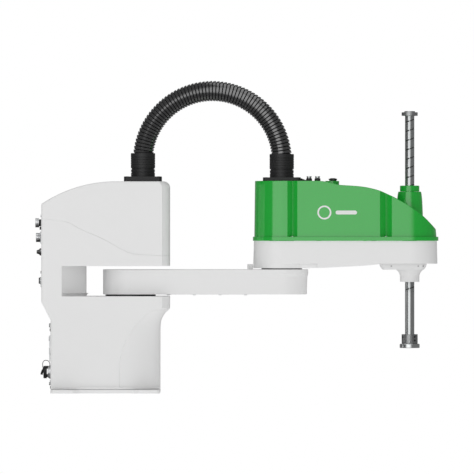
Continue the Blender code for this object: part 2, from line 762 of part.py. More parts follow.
def quill(joint):
    """Ball-screw spline shaft with its stops and the tool flange."""
    shaft = ((SHAFT_R, SHAFT_BOTTOM), (SHAFT_R, SHAFT_TOP - 1.0), (SHAFT_R - 1.0, SHAFT_TOP))
    finish("spindle_shaft", turned(shaft), STEEL, joint)
    bore = SHAFT_R + GAP
    top = ((bore, 595.0), (17.3, 595.0), (17.3, 603.0), (11.6, 603.3), (11.6, 604.6),
           (11.2, 605.0), (bore, 605.0))
    finish("top_stop_ring", turned(top, closed=True), STEEL, joint)
    low = ((bore, SHAFT_BOTTOM), (16.8, SHAFT_BOTTOM), (17.3, 105.8), (17.3, 125.0), (16.8, 125.5),
           (bore, 125.5))
    finish("lower_stop_collar", turned(low, closed=True), STEEL, joint)
    flange = ((20.9, TOOL_FACE), (21.5, TOOL_FACE + 0.6), (21.5, 104.4), (20.9, 105.0))
    disc = turned(flange, 32)
    for angle in (45, 135, 225, 315):
        x, y = arc((0, 0), 16.0, angle, angle, 1)[0]
        cut(disc, turned(((2.5, 90.0), (2.5, 110.0)), 8, (x, y)))
    finish("tool_flange", disc, STEEL, joint)


def robot():
    for obj in list(bpy.data.objects):
        bpy.data.objects.remove(obj)
    base()
    j1 = joint_axis("j1_axis", 0.0)
    upper_arm(j1)
    arm_reducers(j1)
    cable_hose(j1)
    j2 = joint_axis("j2_axis", ARM_1, j1)
    forearm(j2)
    brake_button(joint_axis("button_axis", BUTTON_X, j2))
    motor_pulley("z_motor_pulley", Z_BELT, 364.0, joint_axis("z_motor_axis", Z_MOTOR_X, j2))
    motor_pulley("r_motor_pulley", R_BELT, 364.0, joint_axis("r_motor_axis", R_MOTOR_X, j2))
    rotation = joint_axis("quill_axis", ARM_2, j2)
    nuts(rotation, joint_axis("ball_nut_axis", 0.0, rotation))
    quill(joint_axis("quill_slide", 0.0, rotation))


robot()
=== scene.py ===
"""Looks of the SCARA robot arm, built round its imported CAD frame.

Lengths are in millimetres and are scaled to metres when a mesh is made. Shapes of the forearm and
the quill are drawn from their joint's axis and moved out along the arm to their body's ORIGIN.
"""
import json
import math

import bmesh
import bpy
from mathutils import Matrix, Vector


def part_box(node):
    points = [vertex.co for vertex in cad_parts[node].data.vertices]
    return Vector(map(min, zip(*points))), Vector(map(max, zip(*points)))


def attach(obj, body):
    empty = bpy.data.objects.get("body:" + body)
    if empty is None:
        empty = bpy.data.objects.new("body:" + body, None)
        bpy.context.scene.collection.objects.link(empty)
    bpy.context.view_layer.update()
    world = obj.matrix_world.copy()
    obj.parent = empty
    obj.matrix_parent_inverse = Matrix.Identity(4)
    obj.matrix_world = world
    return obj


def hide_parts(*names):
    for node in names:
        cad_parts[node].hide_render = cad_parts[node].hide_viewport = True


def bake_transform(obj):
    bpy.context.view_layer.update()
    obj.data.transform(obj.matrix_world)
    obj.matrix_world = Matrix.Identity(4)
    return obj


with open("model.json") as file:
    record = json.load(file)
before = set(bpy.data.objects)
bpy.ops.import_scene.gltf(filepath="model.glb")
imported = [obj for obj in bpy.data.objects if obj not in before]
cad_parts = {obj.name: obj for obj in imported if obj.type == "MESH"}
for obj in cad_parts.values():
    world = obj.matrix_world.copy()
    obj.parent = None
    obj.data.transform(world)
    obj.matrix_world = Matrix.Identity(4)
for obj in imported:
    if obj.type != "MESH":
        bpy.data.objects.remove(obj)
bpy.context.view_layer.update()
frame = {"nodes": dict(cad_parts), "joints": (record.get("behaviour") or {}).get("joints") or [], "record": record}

MM = 0.001


def node_box(node):
    """A CAD node's lowest and highest corners, in millimetres."""
    low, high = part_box(node)
    return [c / MM for c in low], [c / MM for c in high]


def round_box(node):
    """Bottom, top and radius of a round CAD node whose axis crosses y = 0."""
    low, high = node_box(node)
    return low[2], high[2], high[1]


def joint_x(name):
    """Distance of a joint's axis along the arm, in millimetres."""
    joint = next(j for j in frame["joints"] if j["name"] == name)
    return joint["pos_m"][0] / MM


ARM_1 = joint_x("j2")
QUILL_X = joint_x("tool_rotation")
ARM_2 = QUILL_X - ARM_1
BASE, ARM, FOREARM = "base", "upper_arm_body", "forearm_body"
QUILL, BUTTON = "quill", "brake_button_body"
ORIGIN = {BASE: 0.0, ARM: 0.0, FOREARM: ARM_1, BUTTON: ARM_1, QUILL: QUILL_X}

# ---------------------------------------------------------------- outlines and solids


def arc(centre, radius, start, end, steps):
    """Points on an arc, angles in degrees, both ends included."""
    angles = [math.radians(start + (end - start) * i / steps) for i in range(steps + 1)]
    return [(centre[0] + radius * math.cos(a), centre[1] + radius * math.sin(a)) for a in angles]


def circle(radius, segments=48, centre=(0.0, 0.0)):
    """Points round a circle, without the last one that would repeat the first."""
    return arc(centre, radius, 0.0, 360.0 * (segments - 1) / segments, segments - 1)


def hexagon(radius, segments=24):
    """A hexagon of that corner radius, sampled at equal angles."""
    points = []
    for i in range(segments):
        angle = 2 * math.pi * i / segments
        within = (angle + math.pi / 6) % (math.pi / 3) - math.pi / 6
        reach = radius * math.cos(math.pi / 6) / math.cos(within)
        points.append((reach * math.cos(angle), reach * math.sin(angle)))
    return points


def rectangle(x0, x1, y0, y1, radius, steps=6):
    """A rectangle with rounded corners."""
    points = arc((x1 - radius, y1 - radius), radius, 0, 90, steps)
    points += arc((x0 + radius, y1 - radius), radius, 90, 180, steps)
    points += arc((x0 + radius, y0 + radius), radius, 180, 270, steps)
    return points + arc((x1 - radius, y0 + radius), radius, 270, 360, steps)


def wrapped(angle):
    """An angle in radians brought between -pi and pi."""
    return (angle + math.pi) % (2 * math.pi) - math.pi


def filleted(corners, steps=6):
    """A closed outline through (x, y, radius) corners, each rounded by an arc."""
    points = []
    count = len(corners)
    for i, (x, y, radius) in enumerate(corners):
        if radius == 0:
            points.append((x, y))
            continue
        before = math.atan2(corners[i - 1][1] - y, corners[i - 1][0] - x)
        after = corners[(i + 1) % count]
        after = math.atan2(after[1] - y, after[0] - x)
        half = wrapped(after - before) / 2
        reach = radius / abs(math.sin(half))
        centre = (x + reach * math.cos(before + half), y + reach * math.sin(before + half))
        side = math.copysign(math.pi / 2, half)
        first = before - side
        sweep = wrapped(after + side - first)
        points += arc(centre, radius, math.degrees(first), math.degrees(first + sweep), steps)
    return points


def capsule(x0, r0, x1, r1, steps=32):
    """The outline round two circles on the X axis, with their common tangents."""
    tilt = math.degrees(math.asin((r0 - r1) / (x1 - x0)))
    rear = arc((x0, 0), r0, 90 - tilt, 270 + tilt, steps)
    return rear + arc((x1, 0), r1, -90 + tilt, 90 - tilt, steps)


def rounding(radius, steps=5):
    """(inset, drop) pairs down a quarter-round edge, from the top face to the wall."""
    angles = [math.pi / 2 * i / steps for i in range(steps + 1)]
    return [(radius * (1 - math.sin(a)), radius * (1 - math.cos(a))) for a in angles]


def level(outline, z):
    """A plan outline laid at a height."""
    return [(x, y, z) for x, y in outline]


def shade(obj, angle=35.0):
    """Smooth shading with sharp edges, and normals that keep the flat faces flat."""
    obj.data.shade_smooth()
    obj.data.set_sharp_from_angle(angle=math.radians(angle))
    modifier = obj.modifiers.new("normals", "WEIGHTED_NORMAL")
    modifier.keep_sharp = True
    modifier.weight = 100
    return obj


def linked(bm):
    """An object in the scene that takes over a bmesh."""
    mesh = bpy.data.meshes.new("piece")
    bm.to_mesh(mesh)
    bm.free()
    obj = bpy.data.objects.new("piece", mesh)
    bpy.context.scene.collection.objects.link(obj)
    return obj


def from_bmesh(bm):
    """An object that takes over a bmesh, with its normals turned outwards."""
    bmesh.ops.recalc_face_normals(bm, faces=bm.faces)
    return linked(bm)


def ring_loops(bm, rings):
    """Rings of vertices from rings of points in millimetres."""
    return [[bm.verts.new([c * MM for c in p]) for p in ring] for ring in rings]


def band(bm, low, high):
    """The faces between two rings of vertices."""
    for i in range(len(low)):
        j = (i + 1) % len(low)
        bm.faces.new((low[i], low[j], high[j], high[i]))


def skin(rings, closed=False):
    """An object whose surface joins rings of equal length; open stacks get flat end caps."""
    bm = bmesh.new()
    loops = ring_loops(bm, rings)
    pairs = list(zip(loops, loops[1:]))
    if closed:
        pairs.append((loops[-1], loops[0]))
    else:
        bm.faces.new(loops[0])
        bm.faces.new(loops[-1])
    for low, high in pairs:
        band(bm, low, high)
    return from_bmesh(bm)


def slab(outline, low, high, top=0.0, bottom=0.0):
    """An outline extruded upwards with rounded rims; outline(inset) gives its points."""
    rings = []
    if bottom:
        rings += [level(outline(i), low + d) for i, d in rounding(bottom)]
    else:
        rings.append(level(outline(0.0), low))
    if top:
        rings += [level(outline(i), high - d) for i, d in reversed(rounding(top))]
    else:
        rings.append(level(outline(0.0), high))
    return skin(rings)


def turned(profile, segments=48, centre=(0.0, 0.0), closed=False):
    """A solid of revolution about Z from (radius, z) points; closed profiles have a bore."""
    return skin([level(circle(r, segments, centre), z) for r, z in profile], closed)


def lying(profile, y, z, segments=48):
    """A solid of revolution about an axis along X from (x, radius) points."""
    rings = []
    for x, radius in profile:
        rings.append([(x, y + a, z + b) for a, b in circle(radius, segments)])
    return skin(rings)


def tube(path, radius):
    """A round bar along (x, y, z) points that stay in one plane of constant y."""
    rings = []
    for i, point in enumerate(path):
        ahead = Vector(path[min(i + 1, len(path) - 1)]) - Vector(path[max(i - 1, 0)])
        out = ahead.cross(Vector((0, 1, 0))).normalized()
        ring = []
        for a, b in circle(radius, 12):
            ring.append(Vector(point) + out * a + Vector((0, 1, 0)) * b)
        rings.append(ring)
    return skin(rings)


def block(x0, x1, y0, y1, z0, z1, edge=0.4):
    """A small box with rounded upright edges and a rounded top."""
    return slab(lambda i: rectangle(x0 + i, x1 - i, y0 + i, y1 - i, edge + 0.1, 3), z0, z1, edge)


def aimed(obj, place, axis):
    """Turn an object made along +Z to an axis and move it to a place in millimetres."""
    turn = Vector((0, 0, 1)).rotation_difference(Vector(axis)).to_matrix().to_4x4()
    obj.data.transform(Matrix.Translation(Vector(place) * MM) @ turn)
    return obj


def joined(objects):
    """One object made of several."""
    bm = bmesh.new()
    for obj in objects:
        bm.from_mesh(obj.data)
        bpy.data.objects.remove(obj)
    return linked(bm)


def pierced(obj, cutters):
    """Cut solids out of a piece."""
    for cutter in cutters:
        modifier = obj.modifiers.new("cut", "BOOLEAN")
        modifier.operation = "DIFFERENCE"
        modifier.object = cutter
    bpy.context.view_layer.update()
    evaluated = obj.evaluated_get(bpy.context.evaluated_depsgraph_get())
    mesh = bpy.data.meshes.new_from_object(evaluated)
    obj.modifiers.clear()
    obj.data = mesh
    for cutter in cutters:
        bpy.data.objects.remove(cutter)
    return obj


def smooth_through(points, x):
    """Height at x of a monotone cubic curve through (x, z) points."""
    if x <= points[0][0]:
        return points[0][1]
    slopes = [(b[1] - a[1]) / (b[0] - a[0]) for a, b in zip(points, points[1:])]
    tangents = [slopes[0]]
    for s, t in zip(slopes, slopes[1:]):
        tangents.append(0.0 if s * t <= 0 else 2 * s * t / (s + t))
    tangents.append(slopes[-1])
    for i, (a, b) in enumerate(zip(points, points[1:])):
        if x <= b[0]:
            width = b[0] - a[0]
            t = (x - a[0]) / width
            rise = a[1] * (1 + 2 * t) * (1 - t) ** 2 + b[1] * t * t * (3 - 2 * t)
            return rise + width * t * (1 - t) * (tangents[i] * (1 - t) - tangents[i + 1] * t)
    return points[-1][1]


# ---------------------------------------------------------------- materials


def feed(tree, node, inputs):
    """Set a shader node's inputs to values or to other nodes' outputs."""
    for key, value in inputs.items():
        if isinstance(value, bpy.types.NodeSocket):
            tree.links.new(value, node.inputs[key])
        else:
            node.inputs[key].default_value = value


def shader_node(tree, kind, inputs, **settings):
    """The outputs of a new shader node with its inputs and settings."""
    node = tree.nodes.new("ShaderNode" + kind)
    for name, value in settings.items():
        setattr(node, name, value)
    feed(tree, node, inputs)
    return node.outputs


def material(name, colour, roughness, metallic=0.0, grain=0.0, grain_scale=900.0, tint=0.03,
             stretch=(1.0, 1.0, 1.0), inputs=()):
    """A Principled material with procedural colour variation, roughness variation and bump."""
    mat = bpy.data.materials.new(name)
    mat.use_nodes = True
    tree = mat.node_tree
    place = shader_node(tree, "TexCoord", {})["Object"]
    scaled = shader_node(tree, "Mapping", {"Vector": place, "Scale": stretch})["Vector"]
    fine = shader_node(tree, "TexNoise", {"Vector": scaled, "Scale": grain_scale, "Detail": 3.0})["Fac"]
    broad = shader_node(tree, "TexNoise", {"Vector": place, "Scale": 9.0, "Detail": 4.0})["Fac"]
    ramp = tree.nodes.new("ShaderNodeValToRGB")
    for stop, position, change in zip(ramp.color_ramp.elements, (0.3, 0.7), (1 - tint, 1 + tint)):
        stop.position = position
        stop.color = (*[min(1.0, c * change) for c in colour], 1.0)
    feed(tree, ramp, {"Fac": broad})
    rough = {"Value": fine, "To Min": roughness * 0.85, "To Max": roughness * 1.15}
    bump = {"Height": fine, "Strength": grain, "Distance": 0.0002}
    feed(tree, tree.nodes["Principled BSDF"], {
        "Base Color": ramp.outputs["Color"],
        "Metallic": metallic,
        "Roughness": shader_node(tree, "MapRange", rough)["Result"],
        "Normal": shader_node(tree, "Bump", bump)["Normal"],
        **dict(inputs),
    })
    return mat


AROUND = (1.0, 1.0, 30.0)
MATERIALS = {
    "white_paint": material("white_powder_coat", (0.88, 0.88, 0.88), 0.42, grain=0.2, tint=0.006),
    "green_cover": material("green_moulded", (0.008, 0.41, 0.036), 0.1, grain=0.03, tint=0.02,
                            grain_scale=700.0, inputs={"Specular IOR Level": 1.0}),
    "black_plastic": material("black_moulded", (0.016, 0.016, 0.017), 0.5, grain=0.35, tint=0.1),
    "hose_black": material("hose_nylon", (0.016, 0.016, 0.017), 0.21, grain=0.1, tint=0.1,
                           inputs={"Specular IOR Level": 1.0, "IOR": 1.8}),
    "dark_metal": material("black_anodised", (0.06, 0.06, 0.062), 0.4, 0.7, grain=0.15),
    "steel": material("ground_steel", (0.66, 0.68, 0.68), 0.3, 1.0, grain=0.08, tint=0.04,
                      grain_scale=260.0, stretch=AROUND),
    "aluminium": material("machined_aluminium", (0.66, 0.67, 0.68), 0.33, 1.0, grain=0.15),
    "rubber": material("black_rubber", (0.018, 0.018, 0.018), 0.75, grain=0.4, tint=0.1),
}
EXTRA = {
    "joint_grey": material("seal_grey", (0.3, 0.3, 0.3), 0.6, tint=0.05),
    "print_white": material("white_print", (0.85, 0.86, 0.85), 0.5, tint=0.01),
    "dark_steel": material("blackened_steel", (0.1, 0.1, 0.1), 0.3, 1.0, grain=0.2, tint=0.08),
    "wire": material("braided_wire", (0.16, 0.16, 0.17), 0.4, 1.0, grain=0.5, tint=0.15),
    # White paint made darker to paint the shade on the bracket under the forearm
    "bracket_shaded_white": material("white_paint_painted_shade", (0.8, 0.8, 0.8), 0.45, grain=0.2, tint=0.01),
    "polished": material("polished_steel", (0.72, 0.74, 0.74), 0.24, 1.0, grain=0.05, tint=0.03),
    "collar_steel": material("oxided_steel", (0.44, 0.45, 0.45), 0.42, 1.0, grain=0.3, tint=0.08),
    # Near black for the bar that paints the shadow in the screw's helical groove
    "groove_shadow_black": material("painted_groove_shadow", (0.08, 0.08, 0.08), 0.5, 0.6, grain=0.2),
    "screw_shaft": material("hardened_steel", (0.57, 0.59, 0.59), 0.28, 1.0, grain=0.1, tint=0.05,
                            grain_scale=260.0, stretch=AROUND),
}


def add(name, obj, slot, body, replaces=(), look=None, angle=35.0, smooth=True):
    """Name a piece, place it along the arm, give it its material and its body."""
    obj.name = name
    obj.data.name = name
    obj.data.materials.clear()
    obj.data.materials.append(EXTRA[look] if look else MATERIALS[slot])
    if smooth:
        shade(obj, angle)
    if body:
        obj.data.transform(Matrix.Translation((ORIGIN[body] * MM, 0, 0)))
        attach(obj, body)
    if replaces:
        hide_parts(*replaces)
    return obj


def dress_cad():
    """Give each CAD node that stays visible its material and smooth shading."""
    for entry in frame["record"]["subparts"]:
        obj = frame["nodes"][entry["node"]]
        obj.data.materials.clear()
        obj.data.materials.append(MATERIALS[entry["material_slot"]])
        shade(obj, 30.0)


# ---------------------------------------------------------------- fasteners


def socket_screw(radius, height):
    """A cap screw's head with its hexagon socket, standing on z = 0."""
    edge = 0.12 * radius
    key = radius * 0.55
    rings = [
        level(hexagon(key), height * 0.45),
        level(hexagon(key), height - 0.1),
        level(circle(key * 1.12, 24), height),
        level(circle(radius - edge, 24), height),
        level(circle(radius, 24), height - edge),
        level(circle(radius, 24), 0.0),
    ]
    return skin(rings)


def screws(name, places, axis, radius, height, slot, body, look=None):
    """A set of equal cap screws as one piece."""
    heads = [aimed(socket_screw(radius, height), place, axis) for place in places]
    return add(name, joined(heads), slot, body, look=look)


def square_places(x, reach, z):
    """The four corners of a level square."""
    return [(x + i * reach, j * reach, z) for i in (-1, 1) for j in (-1, 1)]


# ---------------------------------------------------------------- base

(HEAD_REAR, _, _), (HEAD_FRONT, HALF, HEAD_TOP) = node_box("head_cover")
HEAD_BOTTOM = node_box("head_frame")[0][2]
BODY_TOP = node_box("lower_body")[1][2]
FOOT_TOP = node_box("foot_plate")[1][2]
REAR_CORNER = 6.0

# The front corners: length along X, depth along Y and angle of the crease where they start,
# for the short corner of the head and the long one of the foot
SHORT_CORNER = (16.0, 30.7, 35.0)
LONG_CORNER = (86.0, 60.0, 0.0)
# Length and depth of the step down at the long corner's crease, and depth of the short one's
CREASE = (1.6, 1.2)
CORNER_STEP = 2.4

# Height, rear face, front face and start of the front corner rounding of the lower body
BODY_ROWS = (
    (FOOT_TOP - 1.1, -170.0, 64.0, -22.0),
    (60.0, -170.0, 64.0, -22.0),
    (82.0, -170.0, 64.0, -18.0),
    (102.0, -170.0, 64.0, -12.0),
    (122.0, -170.0, 64.0, -3.5),
    (138.0, -170.0, 64.0, 6.5),
    (148.0, -170.0, 64.7, 14.0),
    (156.0, -170.0, 66.2, 22.0),
    (163.0, -173.4, 69.2, 30.0),
    (169.0, -176.3, 72.9, 37.0),
    (174.6, -179.1, 77.5, 47.0),
    (178.0, -180.7, 81.7, 57.0),
    (182.0, -182.7, 84.5, 68.5),
    (197.0, -190.0, 84.5, 68.5),
    (BODY_TOP, -190.0, 84.5, 68.5),
)


def mirrored(half):
    """A closed outline from its (x, y) or (x, y, radius) points with y > 0."""
    return half + [(x, -y, *radius) for x, y, *radius in reversed(half)]


def base_outline(rear, front, start, inset=0.0):
    """A plan outline of the base: small rear corners, creased elliptical front corners."""
    half = HALF - inset
    rear, front, start = rear + inset, front - inset, start - inset
    length = front - start
    ease = (length - SHORT_CORNER[0]) / (LONG_CORNER[0] - SHORT_CORNER[0])
    depth, crease = [a + ease * (b - a) for a, b in zip(SHORT_CORNER[1:], LONG_CORNER[1:])]
    radius = REAR_CORNER - min(inset, 4.0)
    side = arc((rear + radius, half - radius), radius, 180, 90, 6)
    side.append((start - CREASE[0] * ease, half))
    first = math.radians(crease)
    head_step = (1 - ease) * CORNER_STEP
    edge = half - CREASE[1] * ease - head_step
    steps = 20
    for i in range(steps + 1):
        angle = first + (math.pi / 2 - first) * i / steps
        along = (math.sin(angle) - math.sin(first)) / (1 - math.sin(first))
        fallen = (math.cos(first) - math.cos(angle)) / math.cos(first)
        side.append((start + length * along, edge - (depth - head_step) * fallen))
    return mirrored(side)


def foot_plate():
    """Mounting plate with four eared, counterbored bolt holes."""
    low, high = node_box("foot_plate")
    ear, waist, radius = high[1], 94.0, 8.0
    waist_rear, waist_front, slant = -110.0, 8.0, 8.0

    def outline(inset):
        near, far = radius - inset, radius + inset
        return filleted(mirrored([
            (low[0] + inset, ear - inset, near),
            (waist_rear - slant - inset, ear - inset, near),
            (waist_rear - inset, waist - inset, far),
            (waist_front + inset, waist - inset, far),
            (waist_front + slant + inset, ear - inset, near),
            (high[0] - inset, ear - inset, near),
        ]))

    plate = slab(outline, low[2], high[2], 1.2, 0.4)
    hole_r, sink_r, sink, beyond = 4.5, 9.0, 2.0, 5.0
    bolt = [(hole_r, -beyond), (hole_r, high[2] - sink), (sink_r, high[2] - sink),
            (sink_r, high[2] + beyond)]
    cutters = [turned(bolt, 32, (x, y)) for x in (-148.0, 42.0) for y in (-100.0, 100.0)]
    add("foot_plate_cast", pierced(plate, cutters), "white_paint", BASE, ["foot_plate"])


def lower_body():
    """Cast body: straight foot, flared top, rounded top rim and a fillet to the foot plate."""
    columns = list(zip(*BODY_ROWS))
    heights = columns[0]
    rings = []
    steps = 3
    for low, high in zip(heights, heights[1:]):
        for k in range(steps):
            z = low + (high - low) * k / steps
            row = [smooth_through(list(zip(heights, c)), z) for c in columns[1:]]
            rings.append(level(base_outline(*row), z))
    top = BODY_ROWS[-1]
    for inset, drop in reversed(rounding(0.8)):
        rings.append(level(base_outline(*top[1:], inset), top[0] - drop))
    add("lower_body_casting", skin(rings), "white_paint", BASE, ["lower_body"], angle=15.0)
    reach, hidden = 5.0, 0.3
    rear, front = BODY_ROWS[0][1] + hidden, BODY_ROWS[0][2] - hidden
    fillet = []
    for inset, drop in rounding(reach):
        outline = base_outline(*BODY_ROWS[0][1:], inset - reach)
        outline = [(min(max(x, rear), front), y) for x, y in outline]
        fillet.append(level(outline, FOOT_TOP - 0.1 + drop))
    add("foot_fillet", skin(list(reversed(fillet))), "white_paint", BASE)


def neck():
    """Tapered column between body and head; its rear part runs flush into both."""
    proud, overlap = 0.03, 3.0
    shoulder, front = (-146.0, 74.0, 3.0), (-95.0, 17.0, 10.0)

    def taper(grow):
        x, y, radius = shoulder
        return [(x, y + grow, radius), tuple(value + grow for value in front)]

    rear = [(HEAD_REAR - proud, HALF + proud, REAR_CORNER), (shoulder[0], HALF + proud, 0.0)]
    outline = filleted(mirrored(rear + taper(0.0)))
    column = skin([level(outline, z) for z in (BODY_TOP - overlap, HEAD_BOTTOM + overlap)])
    reach = 6.0
    foot = []
    for inset, drop in reversed(rounding(reach)):
        foot.append(level(filleted(mirrored(taper(inset))), BODY_TOP + reach - drop))
    add("neck_column", joined([column, skin(foot)]), "white_paint", BASE, ["neck"], angle=20.0)


# The parting line between head frame and cover, as (x, z) from rear to front
SEAM = (
    (-190.0, 373.0),
    (-180.0, 372.0),
    (-136.0, 367.0),
    (-110.0, 353.0),
    (-58.5, 330.5),
    (-27.0, 313.0),
    (-3.0, 301.0),
    (17.0, 297.0),
    (69.0, 295.0),
    (84.5, 294.7),
)


def seam_points(lift):
    """The parting line, raised by lift."""
    steps = 48
    xs = [HEAD_REAR + (HEAD_FRONT - HEAD_REAR) * i / steps for i in range(steps + 1)]
    return [(x, smooth_through(SEAM, x) + lift) for x in xs]


def edge_inset(distance, radius):
    """How far a quarter-round edge has fallen back, that far from the side face."""
    if distance >= radius:
        return 0.0
    return radius - math.sqrt(radius**2 - (radius - distance) ** 2)


def corner_inset(distance):
    """How far the head's front face has fallen back, that far from the side face."""
    length, depth, crease = SHORT_CORNER
    if distance >= depth:
        return 0.0
    beyond = max(0.0, distance - CORNER_STEP) / (depth - CORNER_STEP)
    first = math.radians(crease)
    angle = math.acos(math.cos(first) * (1 - beyond))
    return length * (1 - (math.sin(angle) - math.sin(first)) / (1 - math.sin(first)))


def head_half(outline, top_edge, floor):
    """A head shell lofted across its width, with rounded vertical corners and upper rims.

    outline holds (x, z, share): share of the rim rounding that a point takes.
    """
    depths = (0.0, 0.15, 0.5, 1.0, 1.7, CORNER_STEP, 3.5, 4.6, 6.0, 8.5, 12.0, 16.0, 20.5, 25.5, 31.0)
    ys = [-HALF + d for d in depths]
    ys += [-y for y in reversed(ys)]
    front_zone, rear_zone = 40.0, -160.0
    rings = []
    for y in ys:
        distance = HALF - abs(y)
        drop = edge_inset(distance, top_edge)
        front = 1 - corner_inset(distance) / (HEAD_FRONT - front_zone)
        rear = 1 - edge_inset(distance, REAR_CORNER) / (rear_zone - HEAD_REAR)
        ring = []
        for x, z, share in outline:
            if x > front_zone:
                x = front_zone + (x - front_zone) * front
            elif x < rear_zone:
                x = rear_zone + (x - rear_zone) * rear
            ring.append((x, y, max(floor, z - drop * share)))
        rings.append(ring)
    return skin(rings)


def head():
    """Head frame and head cover, parted along the seam."""
    crown_r = 287.5
    centre = (-30.0, HEAD_TOP - crown_r)
    start = 180 - math.degrees(math.acos((centre[0] - HEAD_REAR) / crown_r))
    crown = arc(centre, crown_r, start, 90.0, 40)
    nose_r = 12.5
    nose = arc((HEAD_FRONT - nose_r, HEAD_TOP - nose_r), nose_r, 90.0, 0.0, 10)
    gap_above, gap_below, chamfer = 0.2, 0.04, 1.0
    upper = [(x, z, 1.0) for x, z in crown + nose]
    upper += [(x, z, 0.0) for x, z in reversed(seam_points(gap_above))]
    add("head_cover_shell", head_half(upper, 3.0, HEAD_BOTTOM), "white_paint", BASE, ["head_cover"],
        angle=25.0)
    lower = [(x, z, 0.0) for x, z in seam_points(-gap_below)]
    lower += [(HEAD_FRONT, HEAD_BOTTOM + chamfer, 0.0), (HEAD_FRONT - chamfer, HEAD_BOTTOM, 0.0)]
    lower += [(HEAD_REAR + chamfer, HEAD_BOTTOM, 0.0), (HEAD_REAR, HEAD_BOTTOM + chamfer, 0.0)]
    add("head_frame_casting", head_half(lower, 0.0, HEAD_BOTTOM), "white_paint", BASE,
        ["head_frame"], angle=25.0)


# ---------------------------------------------------------------- rear panels and connectors

REAR = (-1, 0, 0)
# Turns a flat plate's X, Y and Z to Y, Z and X
UPRIGHT = Matrix(((0, 0, 1, 0), (1, 0, 0, 0), (0, 1, 0, 0), (0, 0, 0, 1)))
PANEL_PROUD = 0.6


def rear_panel(name, node, face, screw_z):
    """A flush panel on a rear face: a thin dark gasket line, the plate and its screws."""
    low, high = node_box(node)
    y, z0, z1 = high[1], low[2], high[2]
    sunk, seam, margin = 1.0, 0.5, 6.0

    def plate(proud, wider):
        def outline(inset):
            reach = wider - inset
            return rectangle(-y - reach, y + reach, z0 - reach, z1 + reach, 3.0)

        flat = slab(outline, face - proud, face + sunk, 0.0, 0.3)
        flat.data.transform(UPRIGHT)
        return flat

    add(name + "_gasket", plate(0.1, seam), "rubber", BASE)
    add(name + "_plate", plate(PANEL_PROUD, 0.0), "white_paint", BASE, [node])
    places = [(face - PANEL_PROUD, side * (y - margin), z) for side in (-1, 1) for z in screw_z]
    screws(name + "_screws", places, REAR, 2.8, 1.4, "steel", BASE)


def knurl(first, pitch, count, r):
    """Profile points of the grooves round a plug, from its root to its tip."""
    points = []
    for i in range(count):
        x = first - pitch * i
        points += [(x, r), (x - 0.2, r - 0.4), (x - 0.5, r - 0.4), (x - 0.7, r)]
    return points


def socket_connector(name, node, reach, y, z, root_x):
    """Round plug connector: knurled shell, dark insert with pins, a dark root and a black block that paints the
    shade under the shell.
    """
    r = 9.7
    profile = [(root_x, 6.5), (root_x, r - 0.3), (root_x - 0.3, r)]
    profile += knurl(root_x - 1.6, 1.2, 3, r)
    profile += [(-reach + 0.4, r), (-reach, r - 0.4), (-reach, r - 1.5), (-reach + 4.0, r - 1.5)]
    add(name + "_shell", lying(profile, y, z), "aluminium", BASE, [node])
    # A black block along the shell's underside paints the shade and dark reflection there
    underside_shade_block = block(-reach + 0.1, root_x + 0.4, y - 8.2, y + 8.2, z - r - 0.1, z - 5.8)
    add(name + "_underside_shade_block", underside_shade_block, "black_plastic", BASE)
    insert = lying(((-reach + 2.6, 7.9), (-reach + 3.9, 7.9)), y, z)
    add(name + "_insert", insert, "black_plastic", BASE)
    pins = []
    for place in circle(4.8, 6, (y, z)) + [(y, z)]:
        pins.append(lying(((-reach + 1.0, 0.4), (-reach + 1.4, 0.7), (-reach + 3.0, 0.7)), *place, 12))
    add(name + "_pins", joined(pins), "steel", BASE)
    root = ((HEAD_REAR - PANEL_PROUD, 7.4), (root_x - 0.5, 7.4))
    add(name + "_root", lying(root, y, z), "black_plastic", BASE)


def head_connectors():
    """Plugs and ports on the head's rear panel."""
    face = HEAD_REAR - PANEL_PROUD
    socket_connector("encoder_connector", "encoder_connector", 204.0, -26.0, 365.0, -196.4)
    latch = block(-194.8, face, -31.0, -21.0, 350.0, 356.8)
    add("encoder_connector_latch", latch, "black_plastic", BASE)
    y, z, front, half, spread = 14.0, 333.5, -193.6, 13.5, 10.5
    socket_connector("motor_connector", "motor_connector", 203.6, y, z, front - 0.6)
    plate = block(front, face, y - half, y + half, z - half, z + half)
    add("motor_connector_plate", plate, "aluminium", BASE)
    places = [(front, y + i * spread, z + j * spread) for i in (-1, 1) for j in (-1, 1)]
    screws("motor_connector_screws", places, REAR, 1.6, 0.8, "steel", BASE)
    nut = [(face, 8.7), (-191.6, 8.7), (-192.0, 7.6), (-194.6, 7.6), (-195.0, 5.6), (-196.6, 5.4)]
    nozzle = [(-196.8, 4.6), (-199.6, 3.9), (-200.6, 3.9), (-201.0, 3.5), (-201.0, 2.2), (-198.0, 2.2)]
    add("air_port_fitting", lying(nut + nozzle, -34.0, 302.5), "dark_metal", BASE, ["air_port"],
        look="dark_steel")
    screws("rear_vent_screw", [(face, -30.0, 259.0)], REAR, 3.0, 2.0, "dark_metal", BASE)
    signal_connector(face)


def signal_connector(face):
    """Trapezoid signal connector between two jack screws."""
    middle, height, slant, spread = -4.0, 240.7, 1.5, 21.0

    def trapezoid(x, half_width, half_height):
        corners = ((-half_width, -half_height, slant), (half_width, -half_height, slant),
                   (half_width - slant, half_height, slant), (slant - half_width, half_height, slant))
        return [(x, y + middle, z + height) for y, z in filleted(corners, 4)]

    shell = skin([trapezoid(face, 17.0, 8.8), trapezoid(-192.0, 16.8, 8.2), trapezoid(-194.6, 16.0, 7.2)])
    add("signal_connector_shell", shell, "steel", BASE, ["signal_connector"], look="collar_steel")
    insert = skin([trapezoid(-194.6, 15.6, 6.8), trapezoid(-197.0, 15.0, 6.2)])
    add("signal_connector_insert", insert, "black_plastic", BASE)
    places = [(face - 0.8, middle + side * spread, 240.0) for side in (-1, 1)]
    screws("signal_connector_screws", places, REAR, 2.4, 3.2, "steel", BASE)


